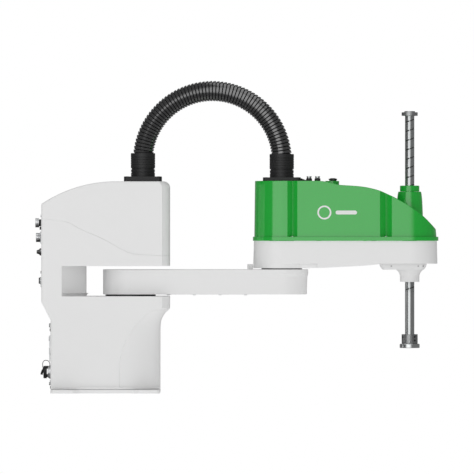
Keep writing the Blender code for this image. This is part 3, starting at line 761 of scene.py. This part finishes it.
def body_connectors():
    """I/O plate, screws and power receptacle on the lower rear."""
    face = BODY_ROWS[0][1] - PANEL_PROUD
    front = -173.8
    low, high = node_box("io_plate")
    plate = block(front, face, low[1], high[1], low[2], high[2], 0.6)
    add("io_plate_face", plate, "aluminium", BASE, ["io_plate"])
    rim = ((front, 5.2), (front - 0.8, 5.2), (front - 1.2, 4.8), (front - 1.2, 3.4), (front - 0.1, 3.4))
    rounds = [lying(rim, y, 116.3) for y in (-26.0, 0.0, 26.0)]
    add("io_sockets", joined(rounds), "steel", BASE, look="collar_steel")
    jacks = [block(-174.4, -173.0, y - 8.0, y + 8.0, 84.0, 97.0) for y in (-24.0, 0.0, 24.0)]
    add("io_jacks", joined(jacks), "black_plastic", BASE)
    for number, (z, y, r) in enumerate(((145.0, -30.0, 4.0), (19.6, -30.0, 3.1)), 1):
        places = [(face, y, z), (face, -y, z)]
        screws(f"rear_cap_screws_{number}", places, REAR, r, 3.9, "steel", BASE, look="collar_steel")
    screws("earth_screw", [(face, -34.0, 135.0)], REAR, 3.0, 2.4, "dark_metal", BASE)
    screws("foot_screw", [(face, -34.0, 12.0)], REAR, 2.8, 1.6, "dark_metal", BASE)
    power_receptacle(face, -20.0, 44.5)


def power_receptacle(face, y, z):
    """Round receptacle with two lugs, and its ribbed dust cap on a strap and a wire."""
    ring = ((face, 14.2), (-174.6, 14.2), (-174.9, 13.8), (-174.9, 12.4), (-177.0, 12.4), (-177.4, 12.0),
            (-177.4, 9.5), (-173.0, 9.5))
    add("power_receptacle_body", lying(ring, y, z), "aluminium", BASE, ["power_receptacle"])
    lugs = [block(-179.9, -175.6, y - 3.0, y + 3.0, z + c - 3.2, z + c + 3.2) for c in (-7.6, 10.2)]
    add("receptacle_lugs", joined(lugs), "black_plastic", BASE)
    r = 13.6
    cap = [(-179.7, 11.0), (-179.7, r - 0.5), (-180.2, r), *knurl(-181.2, 1.1, 4, r)]
    cap += [(-186.0, r), (-186.8, r - 1.0), (-186.8, 9.0), (-186.3, 8.4)]
    add("receptacle_cap_cover", lying(cap, y, z), "black_plastic", BASE, ["receptacle_cap"])
    strap = ((-184.0, y, 53.0), (-187.6, y, 49.0), (-189.6, y, 44.5), (-191.0, y, 39.0))
    add("receptacle_strap", tube(smooth_path(strap, 5), 2.5), "rubber", BASE)
    loop = ((-172.8, y, 57.5), (-173.4, y, 63.0), (-175.4, y, 67.4), (-179.4, y, 69.6), (-184.0, y, 69.4),
            (-187.4, y, 66.4), (-188.6, y, 61.0), (-188.0, y, 54.6), (-186.6, y, 51.0))
    add("cap_tether", tube(smooth_path(loop, 6), 0.75), "steel", BASE, look="wire")


def smooth_path(points, steps):
    """A Catmull-Rom curve through points."""
    padded = [points[0], *points, points[-1]]
    path = []
    for i in range(1, len(padded) - 2):
        p0, p1, p2, p3 = padded[i - 1 : i + 3]
        for k in range(steps):
            t = k / steps
            path.append([
                b + ((c - a) * t + (2 * a - 5 * b + 4 * c - d) * t * t + (3 * (b - c) + d - a) * t**3) / 2
                for a, b, c, d in zip(p0, p1, p2, p3)
            ])
    return path + [list(points[-1])]


# ---------------------------------------------------------------- upper arm


def upper_arm():
    """Upper arm casting, drafted at its front end."""
    low, high = node_box("upper_arm")
    rear = high[1]
    fronts = ((low[2], 54.0), (249.0, 55.0), (256.0, 56.8), (high[2], 56.8))

    def outline(z, inset):
        return level(capsule(0.0, rear - inset, ARM_1, smooth_through(fronts, z) - inset, 40), z)

    rings = [outline(low[2] + drop, inset) for inset, drop in rounding(0.8)]
    rings += [outline(z, 0.0) for z in (230.0, 249.0, 251.0, 253.0, 256.0)]
    rings += [outline(high[2] - drop, inset) for inset, drop in reversed(rounding(1.2))]
    add("upper_arm_casting", skin(rings), "white_paint", ARM, ["upper_arm"])


def arm_bottom():
    """Bottom cover of the upper arm and its screws."""
    low = node_box("upper_arm")[0]
    rear, front, half, proud, margin = 75.5, 254.5, 43.5, 0.4, 6.5
    lid = slab(lambda i: rectangle(rear + i, front - i, i - half, half - i, 10.0), low[2] - proud,
               low[2] + 0.1, 0.0, 0.3)
    add("arm_bottom_lid", lid, "white_paint", ARM, ["arm_bottom_cover"])
    screw_x = (rear + margin, 137.0, 192.0, 247.0)
    places = [(x, y, low[2] - proud) for x in screw_x for y in (margin - half, half - margin)]
    screws("arm_bottom_screws", places, (0, 0, -1), 3.4, 1.2, "steel", ARM)


def stop_block():
    """Stop block of the second joint on top of the upper arm."""
    low, high = node_box("j2_stop_block")
    stop = slab(lambda i: rectangle(low[0] + i, high[0] - i, low[1] + i, high[1] - i, 2.0), low[2],
                high[2] + 0.6, 1.0)
    add("stop_block", stop, "white_paint", ARM, ["j2_stop_block"])


def joint_ring():
    """Grey ring that closes the gap of the second joint."""
    _, top, outer = round_box("j2_reducer")
    inner, edge = 40.0, 0.3
    seal = ((inner, top - 3.4), (outer - edge, top - 3.4), (outer, top - 3.0), (outer, top - edge),
            (outer - edge, top), (inner, top))
    add("j2_joint_ring", turned(seal, 64, (ARM_1, 0.0), True), "aluminium", ARM, look="joint_grey")


# ---------------------------------------------------------------- forearm

# Half widths at the rear and the front end
COVER_SIDE_R = (58.5, 57.3)
LIP_R = (62.0, 61.7)
TRAY_R = (60.4, 59.0)
LIP_TOP = 335.0
WALL_PROUD, WALL_LEAN = 0.5, 1.5
PAD_X, PAD_R = 108.5, 14.85
# Place and radius of the channels in the cover's sides, and how round their bottom is
CHANNELS = ((22.5, 10.5), (223.0, 12.6))
CHANNEL_ROOT = 0.25
CHANNEL_SPAN = math.hypot(1.0, CHANNEL_ROOT) - CHANNEL_ROOT
# Heights of the cover's top line, as (x, z)
COVER_TOP = (
    (80.0, 455.0),
    (95.0, 453.2),
    (110.0, 449.5),
    (124.0, 446.3),
    (150.0, 444.6),
    (173.0, 442.5),
    (205.0, 435.4),
    (236.5, 422.0),
    (268.0, 404.5),
    (303.5, 379.0),
    (331.0, 351.5),
    (333.5, 349.0),
)
# Heights of the tray's underside, with the ends of the keel that hangs below its floor
TRAY_FLOOR, KEEL_LOW = 277.0, 268.2
KEEL_ENDS = ((75.8, 76.0), (209.0, 209.2))
KEEL = (
    (0.0, TRAY_FLOOR),
    (KEEL_ENDS[0][0], TRAY_FLOOR),
    (KEEL_ENDS[0][1], KEEL_LOW),
    (85.0, KEEL_LOW),
    (110.0, 269.5),
    (150.0, 271.6),
    (KEEL_ENDS[1][0], 276.6),
    (KEEL_ENDS[1][1], TRAY_FLOOR),
    (275.0, TRAY_FLOOR),
)


def side_stations():
    """Where the long sides are sampled: evenly, and closely at the channels' edges."""
    steps, channel_steps = 44, 20
    clear, beyond = 0.8, 0.3
    stations = {ARM_2 * i / steps for i in range(steps + 1)}
    for x, radius in CHANNELS:
        stations = {s for s in stations if abs(s - x) > radius + clear}
        for i in range(channel_steps + 1):
            stations.add(x - (radius + beyond) * math.cos(math.pi * i / channel_steps))
    return sorted(stations.union(*KEEL_ENDS))


def forearm_outline(radii, inset, channels=True):
    """Half of the forearm's plan outline (y >= 0), from its rear end to its front end."""
    rear, front = radii
    # A channel is this much shallower than half its width
    rise = 1.0
    rear_arc = arc((0, 0), rear - inset, 180, 90, 20)[:-1]
    sides = []
    for x in side_stations():
        wall = rear + (front - rear) * x / ARM_2
        y = wall - inset
        for centre, radius in CHANNELS if channels else ():
            reach = radius + inset
            if abs(x - centre) < reach:
                across = math.hypot((x - centre) / reach, CHANNEL_ROOT) - CHANNEL_ROOT
                y = min(y, wall - (reach - rise) * (1.0 - across / CHANNEL_SPAN))
        sides.append((x, y))
    return rear_arc + sides + arc((ARM_2, 0), front - inset, 90, 0, 20)[1:]


def contoured(layers):
    """A closed solid from half outlines with heights, filled across its first and last layer."""
    bm = bmesh.new()
    loops = []
    for half, height in layers:
        left = [bm.verts.new((x * MM, y * MM, height(x) * MM)) for x, y in half]
        right = [bm.verts.new((x * MM, -y * MM, height(x) * MM)) for x, y in half[1:-1]]
        loops.append((left, [left[0]] + right + [left[-1]]))
    for (left_a, right_a), (left_b, right_b) in zip(loops, loops[1:]):
        for low, high in ((left_a, left_b), (right_a, right_b)):
            for i in range(len(low) - 1):
                bm.faces.new((low[i], low[i + 1], high[i + 1], high[i]))
    for left, right in (loops[0], loops[-1]):
        for i in range(len(left) - 1):
            corners = dict.fromkeys((left[i], left[i + 1], right[i + 1], right[i]))
            bm.faces.new(list(corners))
    return from_bmesh(bm)


def bore(radius):
    """A cutter for the quill's passage through the forearm."""
    return turned(((radius, 200.0), (radius, 500.0)), 48, (ARM_2, 0.0))


def cover_height(x):
    """Height of the cover's top line."""
    return smooth_through(COVER_TOP, x)


def wall_draft(z):
    """How far the cover's walls lean inwards, by height."""
    return -WALL_PROUD + WALL_LEAN * (z - LIP_TOP) / (COVER_TOP[0][1] - LIP_TOP)


def forearm_cover():
    """Green moulded cover: lip, channelled walls, soft upper rim, sloping front and button pad."""
    low, high = node_box("forearm_cover")
    passage, channel_end, pad_root = 13.0, 14.0, 430.0
    foot = wall_draft(LIP_TOP)
    top = wall_draft(high[2])
    layers = [(forearm_outline(COVER_SIDE_R, foot), lambda x: LIP_TOP - 1.0)]
    for inset, drop in reversed(rounding(1.5)):
        layers.append((forearm_outline(COVER_SIDE_R, top + inset), lambda x, d=drop: cover_height(x) - d))
    for inset in (5.0, 9.0, 14.0, 24.0, 36.0, 47.0, 55.0):
        layers.append((forearm_outline(COVER_SIDE_R, top + inset, inset < channel_end), cover_height))
    body = pierced(contoured(layers), [bore(passage)])

    def lip_outline(inset):
        return capsule(0.0, LIP_R[0] - inset, ARM_2, LIP_R[1] - inset, 40)

    lip = pierced(slab(lip_outline, low[2], LIP_TOP, 1.0, 0.5), [bore(passage)])
    pad = slab(lambda inset: circle(PAD_R - inset, 48, (PAD_X, 0.0)), pad_root, high[2], 0.8)
    add("forearm_cover_moulding", joined([body, lip, pad]), "green_cover", FOREARM, ["forearm_cover"],
        angle=30.0)
    screw_y = 54.6
    places = [(x, y, LIP_TOP) for x, _ in CHANNELS for y in (-screw_y, screw_y)]
    screws("cover_screws", places, (0, 0, 1), 4.0, 1.0, "steel", FOREARM)


def forearm_casing():
    """White tray of the forearm with its boss and keel."""
    low, high = node_box("forearm_casing")

    def floor(x):
        return smooth_through(KEEL, min(max(x, 0.0), ARM_2))

    draft, edge = 0.6, 1.2
    layers = []
    for inset in (55.0, 30.0):
        layers.append((forearm_outline(TRAY_R, inset, False), floor))
    for inset, drop in rounding(edge):
        outline = forearm_outline(TRAY_R, inset - draft, False)
        layers.append((outline, lambda x, d=drop: floor(x) + d))
    layers.append((forearm_outline(TRAY_R, draft, False), lambda x: high[2]))
    tray = pierced(contoured(layers), [bore(19.5)])
    boss = slab(lambda inset: circle(TRAY_R[0] + draft - inset, 64), low[2], 285.0, 0.0, 0.8)
    keel_end, half = 80.0, 46.0
    keel = slab(lambda inset: rectangle(0.0, keel_end, inset - half, half - inset, 2.0), KEEL_LOW,
                TRAY_FLOOR + 3.0, 0.0, edge)
    add("forearm_casing_tray", joined([tray, boss, keel]), "white_paint", FOREARM,
        ["forearm_casing"], angle=30.0)


def side_mark():
    """Generic mark on the cover's sides: a ring and a plain bar printed in white."""
    thick, lift, z = 0.12, 0.04, 387.0
    inner, outer, ring_x = 11.6, 15.0, 91.0
    length, width, bar_x = 46.0, 8.4, 138.0
    section = ((inner, 0.0), (outer, 0.0), (outer, thick), (inner, thick))
    bar = rectangle(-length / 2, length / 2, -width / 2, width / 2, width / 2 - 0.1)
    lean = math.atan(WALL_LEAN / (COVER_TOP[0][1] - LIP_TOP))
    turn = Matrix.Rotation((COVER_SIDE_R[0] - COVER_SIDE_R[1]) / ARM_2, 4, "Z")
    turn = turn @ Matrix.Rotation(math.pi / 2 - lean, 4, "X")
    far_side = Matrix.Scale(-1, 4, (0, 1, 0))
    pieces = []
    for far in (False, True):
        ring = turned(section, 48, closed=True)
        plain = skin([level(bar, 0.0), level(bar, thick)])
        for mark, x in ((ring, ring_x), (plain, bar_x)):
            wall = COVER_SIDE_R[0] + (COVER_SIDE_R[1] - COVER_SIDE_R[0]) * x / ARM_2
            place = Vector((x, wall_draft(z) - wall - lift, z)) * MM
            mark.data.transform(Matrix.Translation(place) @ turn)
            if far:
                mark.data.transform(far_side)
                mark.data.flip_normals()
            pieces.append(mark)
    add("side_marks", joined(pieces), "white_paint", FOREARM, look="print_white",
        smooth=False)


def tower():
    """Conical guide tower round the quill, with its cap."""
    low, _, foot_r = round_box("shaft_tower")
    cap = node_box("tower_cap")[1][2]
    hole_r, top = 13.0, 432.0
    cone = [(hole_r, low), (foot_r, low), (foot_r, 384.0), (27.9, 396.0), (27.0, 415.0),
            (25.6, 427.0), (24.7, top - 1.0), (24.0, top), (hole_r, top)]
    add("tower_cone", turned(cone, 64, (ARM_2, 0.0), True), "green_cover", FOREARM, ["shaft_tower"],
        angle=28.0)
    lid_r, hole_r, gap = 20.9, 10.5, 0.3
    lid = [(hole_r, top + gap), (lid_r, top + gap), (lid_r, cap - 1.6), (lid_r - 0.5, cap - 0.5),
           (lid_r - 1.5, cap), (hole_r + 0.3, cap), (hole_r, cap - 0.3)]
    add("tower_lid", turned(lid, 48, (ARM_2, 0.0), True), "green_cover", FOREARM, ["tower_cap"],
        angle=28.0)


def bracket():
    """Spline nut's bearing bracket: chamfered flange, flared neck and set screws."""
    low, high = node_box("spindle_bracket")
    hole_r, root = 17.6, 266.0
    # Height, rear end, front end and half width, from the chamfered foot up
    flange = ((264.5, 217.5, 305.0, 30.0), (root, 215.5, 306.0, 31.3), (271.0, 212.0, 309.5, 34.6),
              (high[2], 209.7, 311.5, 36.0))
    rings = [level(rectangle(x0, x1, -y, y, 12.0), z) for z, x0, x1, y in flange]
    plate = pierced(skin(rings), [bore(hole_r)])
    neck_wall = [(hole_r, low[2]), (20.4, low[2]), (20.8, low[2] + 0.4), (21.0, 251.0), (21.6, 254.0),
                 (23.0, 257.5), (25.5, 261.0), (28.5, 263.5), (29.6, root), (hole_r, root)]
    collar = turned(neck_wall, 64, (ARM_2, 0.0), True)
    # The bracket's darker white paints the shade that falls under the forearm tray
    add("spindle_bracket_casting", joined([plate, collar]), "white_paint", FOREARM,
        ["spindle_bracket"], look="bracket_shaded_white", angle=28.0)
    places = [(x, -34.3, 272.0) for x in (234.9, 292.6, 303.5)]
    screws("bracket_screws", places, (0, -1, 0), 1.6, 1.0, "steel", FOREARM,
           look="joint_grey")


def air_fitting(name, node, x):
    """Push-in air fitting: hexagon, body and release collet."""
    bottom, top, _ = round_box(node)
    y, nut_r, nut_top = -8.0, 7.4, bottom + 3.0
    nut = ((nut_r, bottom), (nut_r, nut_top - 0.4), (nut_r - 0.4, nut_top))
    base = skin([level(hexagon(r), z) for r, z in nut])
    base.data.transform(Matrix.Translation((x * MM, y * MM, 0)))
    body = [(6.4, nut_top), (6.2, top - 4.8), (4.6, top - 4.2), (4.6, top - 4.0)]
    collet = [(2.7, top - 3.9), (4.8, top - 3.9), (4.8, top - 2.4), (5.4, top - 2.1), (5.4, top - 0.3),
              (5.1, top), (2.9, top), (2.7, top - 0.2)]
    add(name + "_nut", base, "black_plastic", FOREARM)
    add(name + "_body", turned(body, 32, (x, y)), "dark_metal", FOREARM, [node])
    add(name + "_collet", turned(collet, 32, (x, y), True), "steel", FOREARM)


def brake_button():
    """Brake release button in its round bezel."""
    foot, top, _ = round_box("button_bezel")
    low, high = node_box("brake_button")
    x = (low[0] + high[0]) / 2 - ARM_1
    bezel = [(6.9, foot), (8.0, foot), (8.0, top - 2.6), (9.2, top - 2.3), (9.2, top - 0.2),
             (9.0, top), (7.0, top), (6.9, top - 0.1)]
    add("button_bezel_ring", turned(bezel, 48, (x, 0.0), True), "black_plastic", FOREARM,
        ["button_bezel"])
    cap = [(6.2, low[2]), (6.2, high[2] - 1.0), (5.7, high[2] - 0.3), (4.9, high[2]),
           (3.8, high[2] - 0.2), (2.0, high[2] - 0.5)]
    add("brake_button_cap", turned(cap, 40, (x, 0.0)), "black_plastic", BUTTON, ["brake_button"])


# ---------------------------------------------------------------- hose

HOSE_BEND_R = 149.15
HOSE_CENTRE = (175.85, 499.0)
HOSE_BASE_X = 26.7
RIB_PITCH = 7.1


def cable_hose():
    """Corrugated hose: a half circle of saw-tooth ribs, blended from the base to the forearm."""
    # Share of the pitch and radius there, along one rib
    profile = ((0.0, 18.7), (0.2, 20.75), (0.55, 21.5), (0.86, 22.15), (0.92, 21.6))
    ribs = round(math.pi * HOSE_BEND_R / RIB_PITCH)
    rings = []
    for rib in range(ribs):
        for share, radius in profile:
            angle = math.pi * (1 - (rib + share) / ribs)
            out = Vector((math.cos(angle), 0, math.sin(angle)))
            centre = Vector((HOSE_CENTRE[0], 0, HOSE_CENTRE[1])) + out * HOSE_BEND_R
            side = Vector((0, 1, 0))
            rings.append([centre + out * a + side * b for a, b in circle(radius, 48)])
    hose = add("cable_hose_ribbed", skin(rings), "hose_black", None, ["cable_hose"], angle=25.0)
    hose.modifiers.clear()
    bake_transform(hose)


def gland(name, node, body, x):
    """Hose gland: finely ribbed sleeve over a nut, parted by a groove."""
    z0, z1, _ = round_box(node)
    hole_r, nut_r, sleeve_r, rib = 19.0, 25.7, 26.2, 0.6
    groove = z0 + 15.0
    profile = [(hole_r, z0), (nut_r, z0), (nut_r, z0 + 8.0), (nut_r - 1.1, z0 + 8.2),
               (nut_r - 1.1, z0 + 9.6), (nut_r, z0 + 9.8), (nut_r, groove), (24.0, groove + 0.2),
               (24.0, groove + 2.2), (sleeve_r, groove + 2.6)]
    count = 5
    for i in range(count):
        z = groove + 4.0 + (z1 - groove - 8.0) * i / count
        profile += [(sleeve_r, z), (sleeve_r - rib, z + 0.3), (sleeve_r - rib, z + 1.1),
                    (sleeve_r, z + 1.4)]
    profile += [(sleeve_r, z1 - 1.2), (sleeve_r - 0.8, z1), (22.8, z1), (22.5, z1 - 2.0),
                (hole_r, z1 - 2.0)]
    add(name, turned(profile, 64, (x, 0.0), True), "black_plastic", body, [node])


def gland_plate(name, node, body, x):
    """Square flange under a hose gland with four flush screws."""
    low, high = node_box(node)
    reach = (high[0] - low[0]) / 2

    def outline(inset):
        return rectangle(x - reach + inset, x + reach - inset, -reach + inset, reach - inset,
                         6.5 - inset)

    add(name, slab(outline, low[2], high[2], 0.6), "black_plastic", body, [node])
    screws(name + "_screws", square_places(x, reach - 6.5, high[2]), (0, 0, 1), 3.4, 0.25,
           "dark_metal", body)


def cable_wedge():
    """Black grommet in front of the forearm's gland flange."""
    side = [(40.0, 454.5), (40.0, 461.0), (42.5, 460.4), (52.5, 456.6), (54.0, 454.5)]
    wedge = skin([[(x, y, z) for x, z in side] for y in (-12.0, 12.0)])
    add("cable_wedge", wedge, "black_plastic", FOREARM)


# ---------------------------------------------------------------- quill

LEAD = 20.0
SHAFT_R = 10.0
RING_HOLE_R = SHAFT_R + 0.3
GROOVE_END = 216.0
# Where along the lead the groove lies, as a share, and its half width
TRACK, TRACK_HALF = 0.45, 0.07
# Angles of the straight spline flats
SPLINES = (-38.0, 82.0, 202.0)


def grooved(low, high, helical):
    """Shaft surface between two heights, rows running along the helix where it is grooved."""
    groove = ((TRACK_HALF, 0.0), (TRACK_HALF - 0.005, 0.05), (0.03, 1.2))
    turn_rows = [(0.0, 0.0), (0.2, 0.0), (TRACK, 1.6), (0.7, 0.0)]
    turn_rows += [(TRACK + side * share, depth) for share, depth in groove for side in (-1, 1)]
    turn_rows.sort()
    angles = {i * 6.0 - 90.0 for i in range(60)}
    spline_depth = {}
    for centre in SPLINES:
        for offset, depth in ((9.0, 0.0), (7.0, 0.3), (3.0, 0.5)):
            spline_depth[centre - offset] = depth
            spline_depth[centre + offset] = depth
        angles = {a for a in angles if abs((a - centre + 180) % 360 - 180) > 10.0}
    angles = sorted(angles | set(spline_depth))
    if helical:
        turns = range(math.floor(low / LEAD) - 1, math.ceil(high / LEAD) + 1)
        rows = [((turn + share) * LEAD, depth) for turn in turns for share, depth in turn_rows]
    else:
        rows = [(low + (high - low) * i / 40, 0.0) for i in range(41)]
    rings = []
    for height, depth in rows:
        ring = []
        for angle in angles:
            z = height + (LEAD * angle / 360.0 if helical else 0.0)
            z = min(max(z, low), high)
            radius = SHAFT_R - max(depth, spline_depth.get(angle, 0.0))
            spin = math.radians(angle)
            ring.append((radius * math.cos(spin), radius * math.sin(spin), z))
        rings.append(ring)
    return rings


def ring_surface(rings):
    """A surface through rings that may run together at its ends, which are filled."""
    bm = bmesh.new()
    loops = ring_loops(bm, rings)
    for low, high in zip(loops, loops[1:]):
        band(bm, low, high)
    bmesh.ops.remove_doubles(bm, verts=bm.verts, dist=1e-6)
    bmesh.ops.dissolve_degenerate(bm, edges=bm.edges, dist=1e-6)
    bmesh.ops.holes_fill(bm, edges=[e for e in bm.edges if e.is_boundary])
    return from_bmesh(bm)


def helix(low, high, reach, radius):
    """A round bar along the bottom of the helical groove, at that distance from the axis; it is coloured near
    black and paints the groove's shadow.
    """
    steps = 24
    first, last = [round((z / LEAD - TRACK) * steps) for z in (low, high)]
    rings = []
    for i in range(first, last + 1):
        spin = 2 * math.pi * i / steps
        z = LEAD * (i / steps + TRACK)
        ring = []
        for out, up in circle(radius, 6):
            ring.append(((reach + out) * math.cos(spin), (reach + out) * math.sin(spin), z + up))
        rings.append(ring)
    return skin(rings)


def spindle_shaft():
    """Ball-screw spline shaft: helical groove over the upper part, straight splines below."""
    low, high, _ = round_box("spindle_shaft")
    upper = ring_surface(grooved(GROOVE_END, high, True))
    add("spindle_screw", upper, "steel", QUILL, ["spindle_shaft"], look="screw_shaft", angle=25.0)
    margin, sunk, overlap = 1.0, 1.1, 0.2
    # A near-black bar along the groove's bottom paints the groove's shadow
    shadow_bar = helix(GROOVE_END + margin, high - margin, SHAFT_R - sunk, 0.95)
    add("groove_shadow_bar", shadow_bar, "dark_metal", QUILL, look="groove_shadow_black")
    lower = ring_surface(grooved(low, GROOVE_END + overlap, False))
    add("spindle_spline", lower, "steel", QUILL, angle=25.0)


def ring_section(hole_r, r, z0, z1, foot_edge, top_edge):
    """Section of a ring with chamfered outer edges."""
    return [(hole_r, z0), (r - foot_edge, z0), (r, z0 + foot_edge), (r, z1 - top_edge),
            (r - top_edge, z1), (hole_r, z1)]


def ring_screw(name, direction, r, z, radius):
    """A set screw in the side of a ring on the shaft."""
    x, y = direction
    screws(name, [(x * r, y * r, z)], (x, y, 0), radius, 0.4, "dark_metal", QUILL)


def stop_ring():
    """Top stop ring with its raised rim and set screw."""
    z0, z1, r = round_box("top_stop_ring")
    ring = [(RING_HOLE_R, z0), (r - 0.4, z0), (r, z0 + 0.4), (r, z1 - 2.9), (r - 0.5, z1 - 2.4),
            (11.4, z1 - 2.4), (11.4, z1 - 0.3), (11.1, z1), (RING_HOLE_R, z1)]
    add("stop_ring_top", turned(ring, 64, closed=True), "steel", QUILL, ["top_stop_ring"],
        look="collar_steel")
    ring_screw("stop_ring_screw", (-0.94, -0.34), r, 599.5, 2.2)


def split_collar():
    """Lower stop collar, slit at its front, with three set screws."""
    z0, z1, r = round_box("lower_stop_collar")
    section = ring_section(RING_HOLE_R, r, z0, z1, 0.6, 0.6)
    columns = 48
    half_slit = math.radians(3.6)
    first, sweep = half_slit - math.pi / 2, 2 * (math.pi - half_slit)
    rings = []
    for i in range(columns + 1):
        angle = first + sweep * i / columns
        rings.append([(q * math.cos(angle), q * math.sin(angle), z) for q, z in section])
    add("split_collar", skin(rings), "steel", QUILL, ["lower_stop_collar"], look="collar_steel",
        angle=40.0)
    front, rear = (0.62, -0.78), (-0.9, -0.43)
    for number, (direction, z) in enumerate(((front, z1 - 5.5), (front, z0 + 7.0), (rear, z1 - 6.0)), 1):
        ring_screw(f"collar_screw_{number}", direction, r, z, 2.5)


def tool_flange():
    """Tool flange with its four bolt holes."""
    z0, z1, r = round_box("tool_flange")
    centre_r, bolt_r, bolt_circle, beyond = 4.0, 2.5, 16.0, 5.0
    disc = turned(ring_section(centre_r, r, z0, z1, 0.8, 1.2), 96, closed=True)
    bolt = ((bolt_r, z0 - beyond), (bolt_r, z1 + beyond))
    cutters = [turned(bolt, 24, place) for place in circle(bolt_circle, 4)]
    add("tool_flange_disc", pierced(disc, cutters), "steel", QUILL, ["tool_flange"], look="polished")


# ---------------------------------------------------------------- studio

# Softbox in front of the arm: azimuths and elevations where it fades in and out, in degrees
BOX_LEFT = (-44, -36)
BOX_RIGHT = (26, -4)
BOX_LOWER = (-24, -6)
BOX_UPPER = (80, 50)
# Strengths seen in reflections: the softbox, the sides, their rise to the right, the rear
FRONT_SOFTBOX = 1.3
SIDE_LEVEL = 0.16
SIDE_TILT = 0.03
REAR_SOFTBOX = 0.1
# Where the rear light fades in, and how closely the fill keeps to the horizon
REAR_FADE = (0.5, 0.9)
FILL_BAND = 3.0
# Strengths of the light that falls on the surfaces: even, from the front, from the left
FILL_LEVEL = 0.27
FILL_FRONT = 0.985
FILL_LEFT = 0.4
FLOOR_GLOW = 0.42
# Width and centre of the view and the camera's distance, in metres
VIEW_WIDTH = 1.019
VIEW_CENTRE = (0.2288, 0.3345)
CAMERA_DISTANCE = 17.0


def studio_world():
    """White studio: even fill with a front bias, and a front softbox for reflections."""
    world = bpy.data.worlds.new("studio")
    bpy.context.scene.world = world
    world.use_nodes = True
    tree = world.node_tree
    tree.nodes.clear()

    def math_node(operation, *values):
        return shader_node(tree, "Math", dict(enumerate(values)), operation=operation)[0]

    def step(value, low, high):
        inputs = {"Value": value, "From Min": low, "From Max": high}
        return shader_node(tree, "MapRange", inputs, interpolation_type="SMOOTHSTEP")["Result"]

    def background(strength):
        return shader_node(tree, "Background", {"Color": (1, 1, 1, 1), "Strength": strength})[0]

    def mix(*inputs):
        return shader_node(tree, "MixShader", dict(enumerate(inputs)))[0]

    direction = shader_node(tree, "TexCoord", {})["Generated"]
    x, y, z = shader_node(tree, "SeparateXYZ", {0: direction})
    forward, leftward = [math_node("MULTIPLY", axis, -1.0) for axis in (y, x)]
    azimuth = math_node("ARCTAN2", x, forward)
    left, right = [step(azimuth, *map(math.radians, side)) for side in (BOX_LEFT, BOX_RIGHT)]
    lower, upper = [step(z, *[math.sin(math.radians(a)) for a in side]) for side in (BOX_LOWER, BOX_UPPER)]
    softbox = math_node("MULTIPLY", math_node("MULTIPLY", left, right),
                        math_node("MULTIPLY", lower, upper))
    side = math_node("MULTIPLY_ADD", x, SIDE_TILT, SIDE_LEVEL)
    rear = math_node("MULTIPLY", step(y, *REAR_FADE), REAR_SOFTBOX)
    dark = math_node("ADD", side, rear)
    glossy = math_node("MULTIPLY_ADD", softbox, FRONT_SOFTBOX, dark)
    flatness = math_node("SUBTRACT", 1.0, math_node("MULTIPLY", z, z))
    band = math_node("POWER", flatness, FILL_BAND)
    front = math_node("MULTIPLY", math_node("MAXIMUM", forward, 0.0), FILL_FRONT)
    left_side = math_node("MULTIPLY", math_node("MAXIMUM", leftward, 0.0), FILL_LEFT)
    fill = math_node("MULTIPLY_ADD", math_node("ADD", front, left_side), band, FILL_LEVEL)
    rays = shader_node(tree, "LightPath", {})
    lit = mix(rays["Is Glossy Ray"], background(fill), background(glossy))
    seen = mix(rays["Is Camera Ray"], lit, background(1.0))
    shader_node(tree, "OutputWorld", {"Surface": seen})


def studio():
    """Pale floor, studio light and the long-lens side camera."""
    scene = bpy.context.scene
    scene.view_settings.view_transform = "Standard"
    studio_world()
    bm = bmesh.new()
    bmesh.ops.create_circle(bm, cap_ends=True, radius=1.3, segments=96)
    floor = from_bmesh(bm)
    floor.name = "floor"
    floor.location = (0.2, 0, 0)
    paper = bpy.data.materials.new("floor_paper")
    paper.use_nodes = True
    feed(paper.node_tree, paper.node_tree.nodes["Principled BSDF"], {
        "Base Color": (0.9, 0.9, 0.9, 1),
        "Roughness": 0.9,
        "Emission Color": (1, 1, 1, 1),
        "Emission Strength": FLOOR_GLOW,
    })
    floor.data.materials.append(paper)
    floor.visible_camera = False
    floor.visible_glossy = False
    camera = bpy.data.objects.new("camera", bpy.data.cameras.new("camera"))
    scene.collection.objects.link(camera)
    camera.location = (VIEW_CENTRE[0], -CAMERA_DISTANCE, VIEW_CENTRE[1])
    camera.rotation_euler = (math.pi / 2, 0, 0)
    camera.data.lens = camera.data.sensor_width * CAMERA_DISTANCE / VIEW_WIDTH
    camera.data.clip_end = 100.0
    scene.camera = camera
    sky = bpy.data.objects.new("overhead", bpy.data.lights.new("overhead", "AREA"))
    sky.data.energy = 12.0
    sky.data.size = 2.0
    sky.location = (0.2, 0.0, 3.0)
    scene.collection.objects.link(sky)


studio()
dress_cad()
foot_plate()
lower_body()
neck()
head()
rear_panel("connector_panel", "connector_panel", HEAD_REAR, (230.0, 305.0, 380.0))
rear_panel("service_panel", "service_panel", BODY_ROWS[0][1], (26.0, 84.0, 142.0))
head_connectors()
body_connectors()
upper_arm()
arm_bottom()
stop_block()
joint_ring()
forearm_casing()
forearm_cover()
side_mark()
tower()
bracket()
air_fitting("air_fitting_a", "air_fitting_1", 58.7)
air_fitting("air_fitting_b", "air_fitting_2", 76.8)
brake_button()
cable_hose()
gland("base_hose_gland", "base_hose_collar", BASE, HOSE_BASE_X)
gland("arm_hose_gland", "arm_hose_collar", FOREARM, 0.0)
gland_plate("base_hose_plate", "base_hose_flange", BASE, HOSE_BASE_X)
gland_plate("arm_hose_plate", "arm_hose_flange", FOREARM, 0.0)
cable_wedge()
spindle_shaft()
stop_ring()
split_collar()
tool_flange()
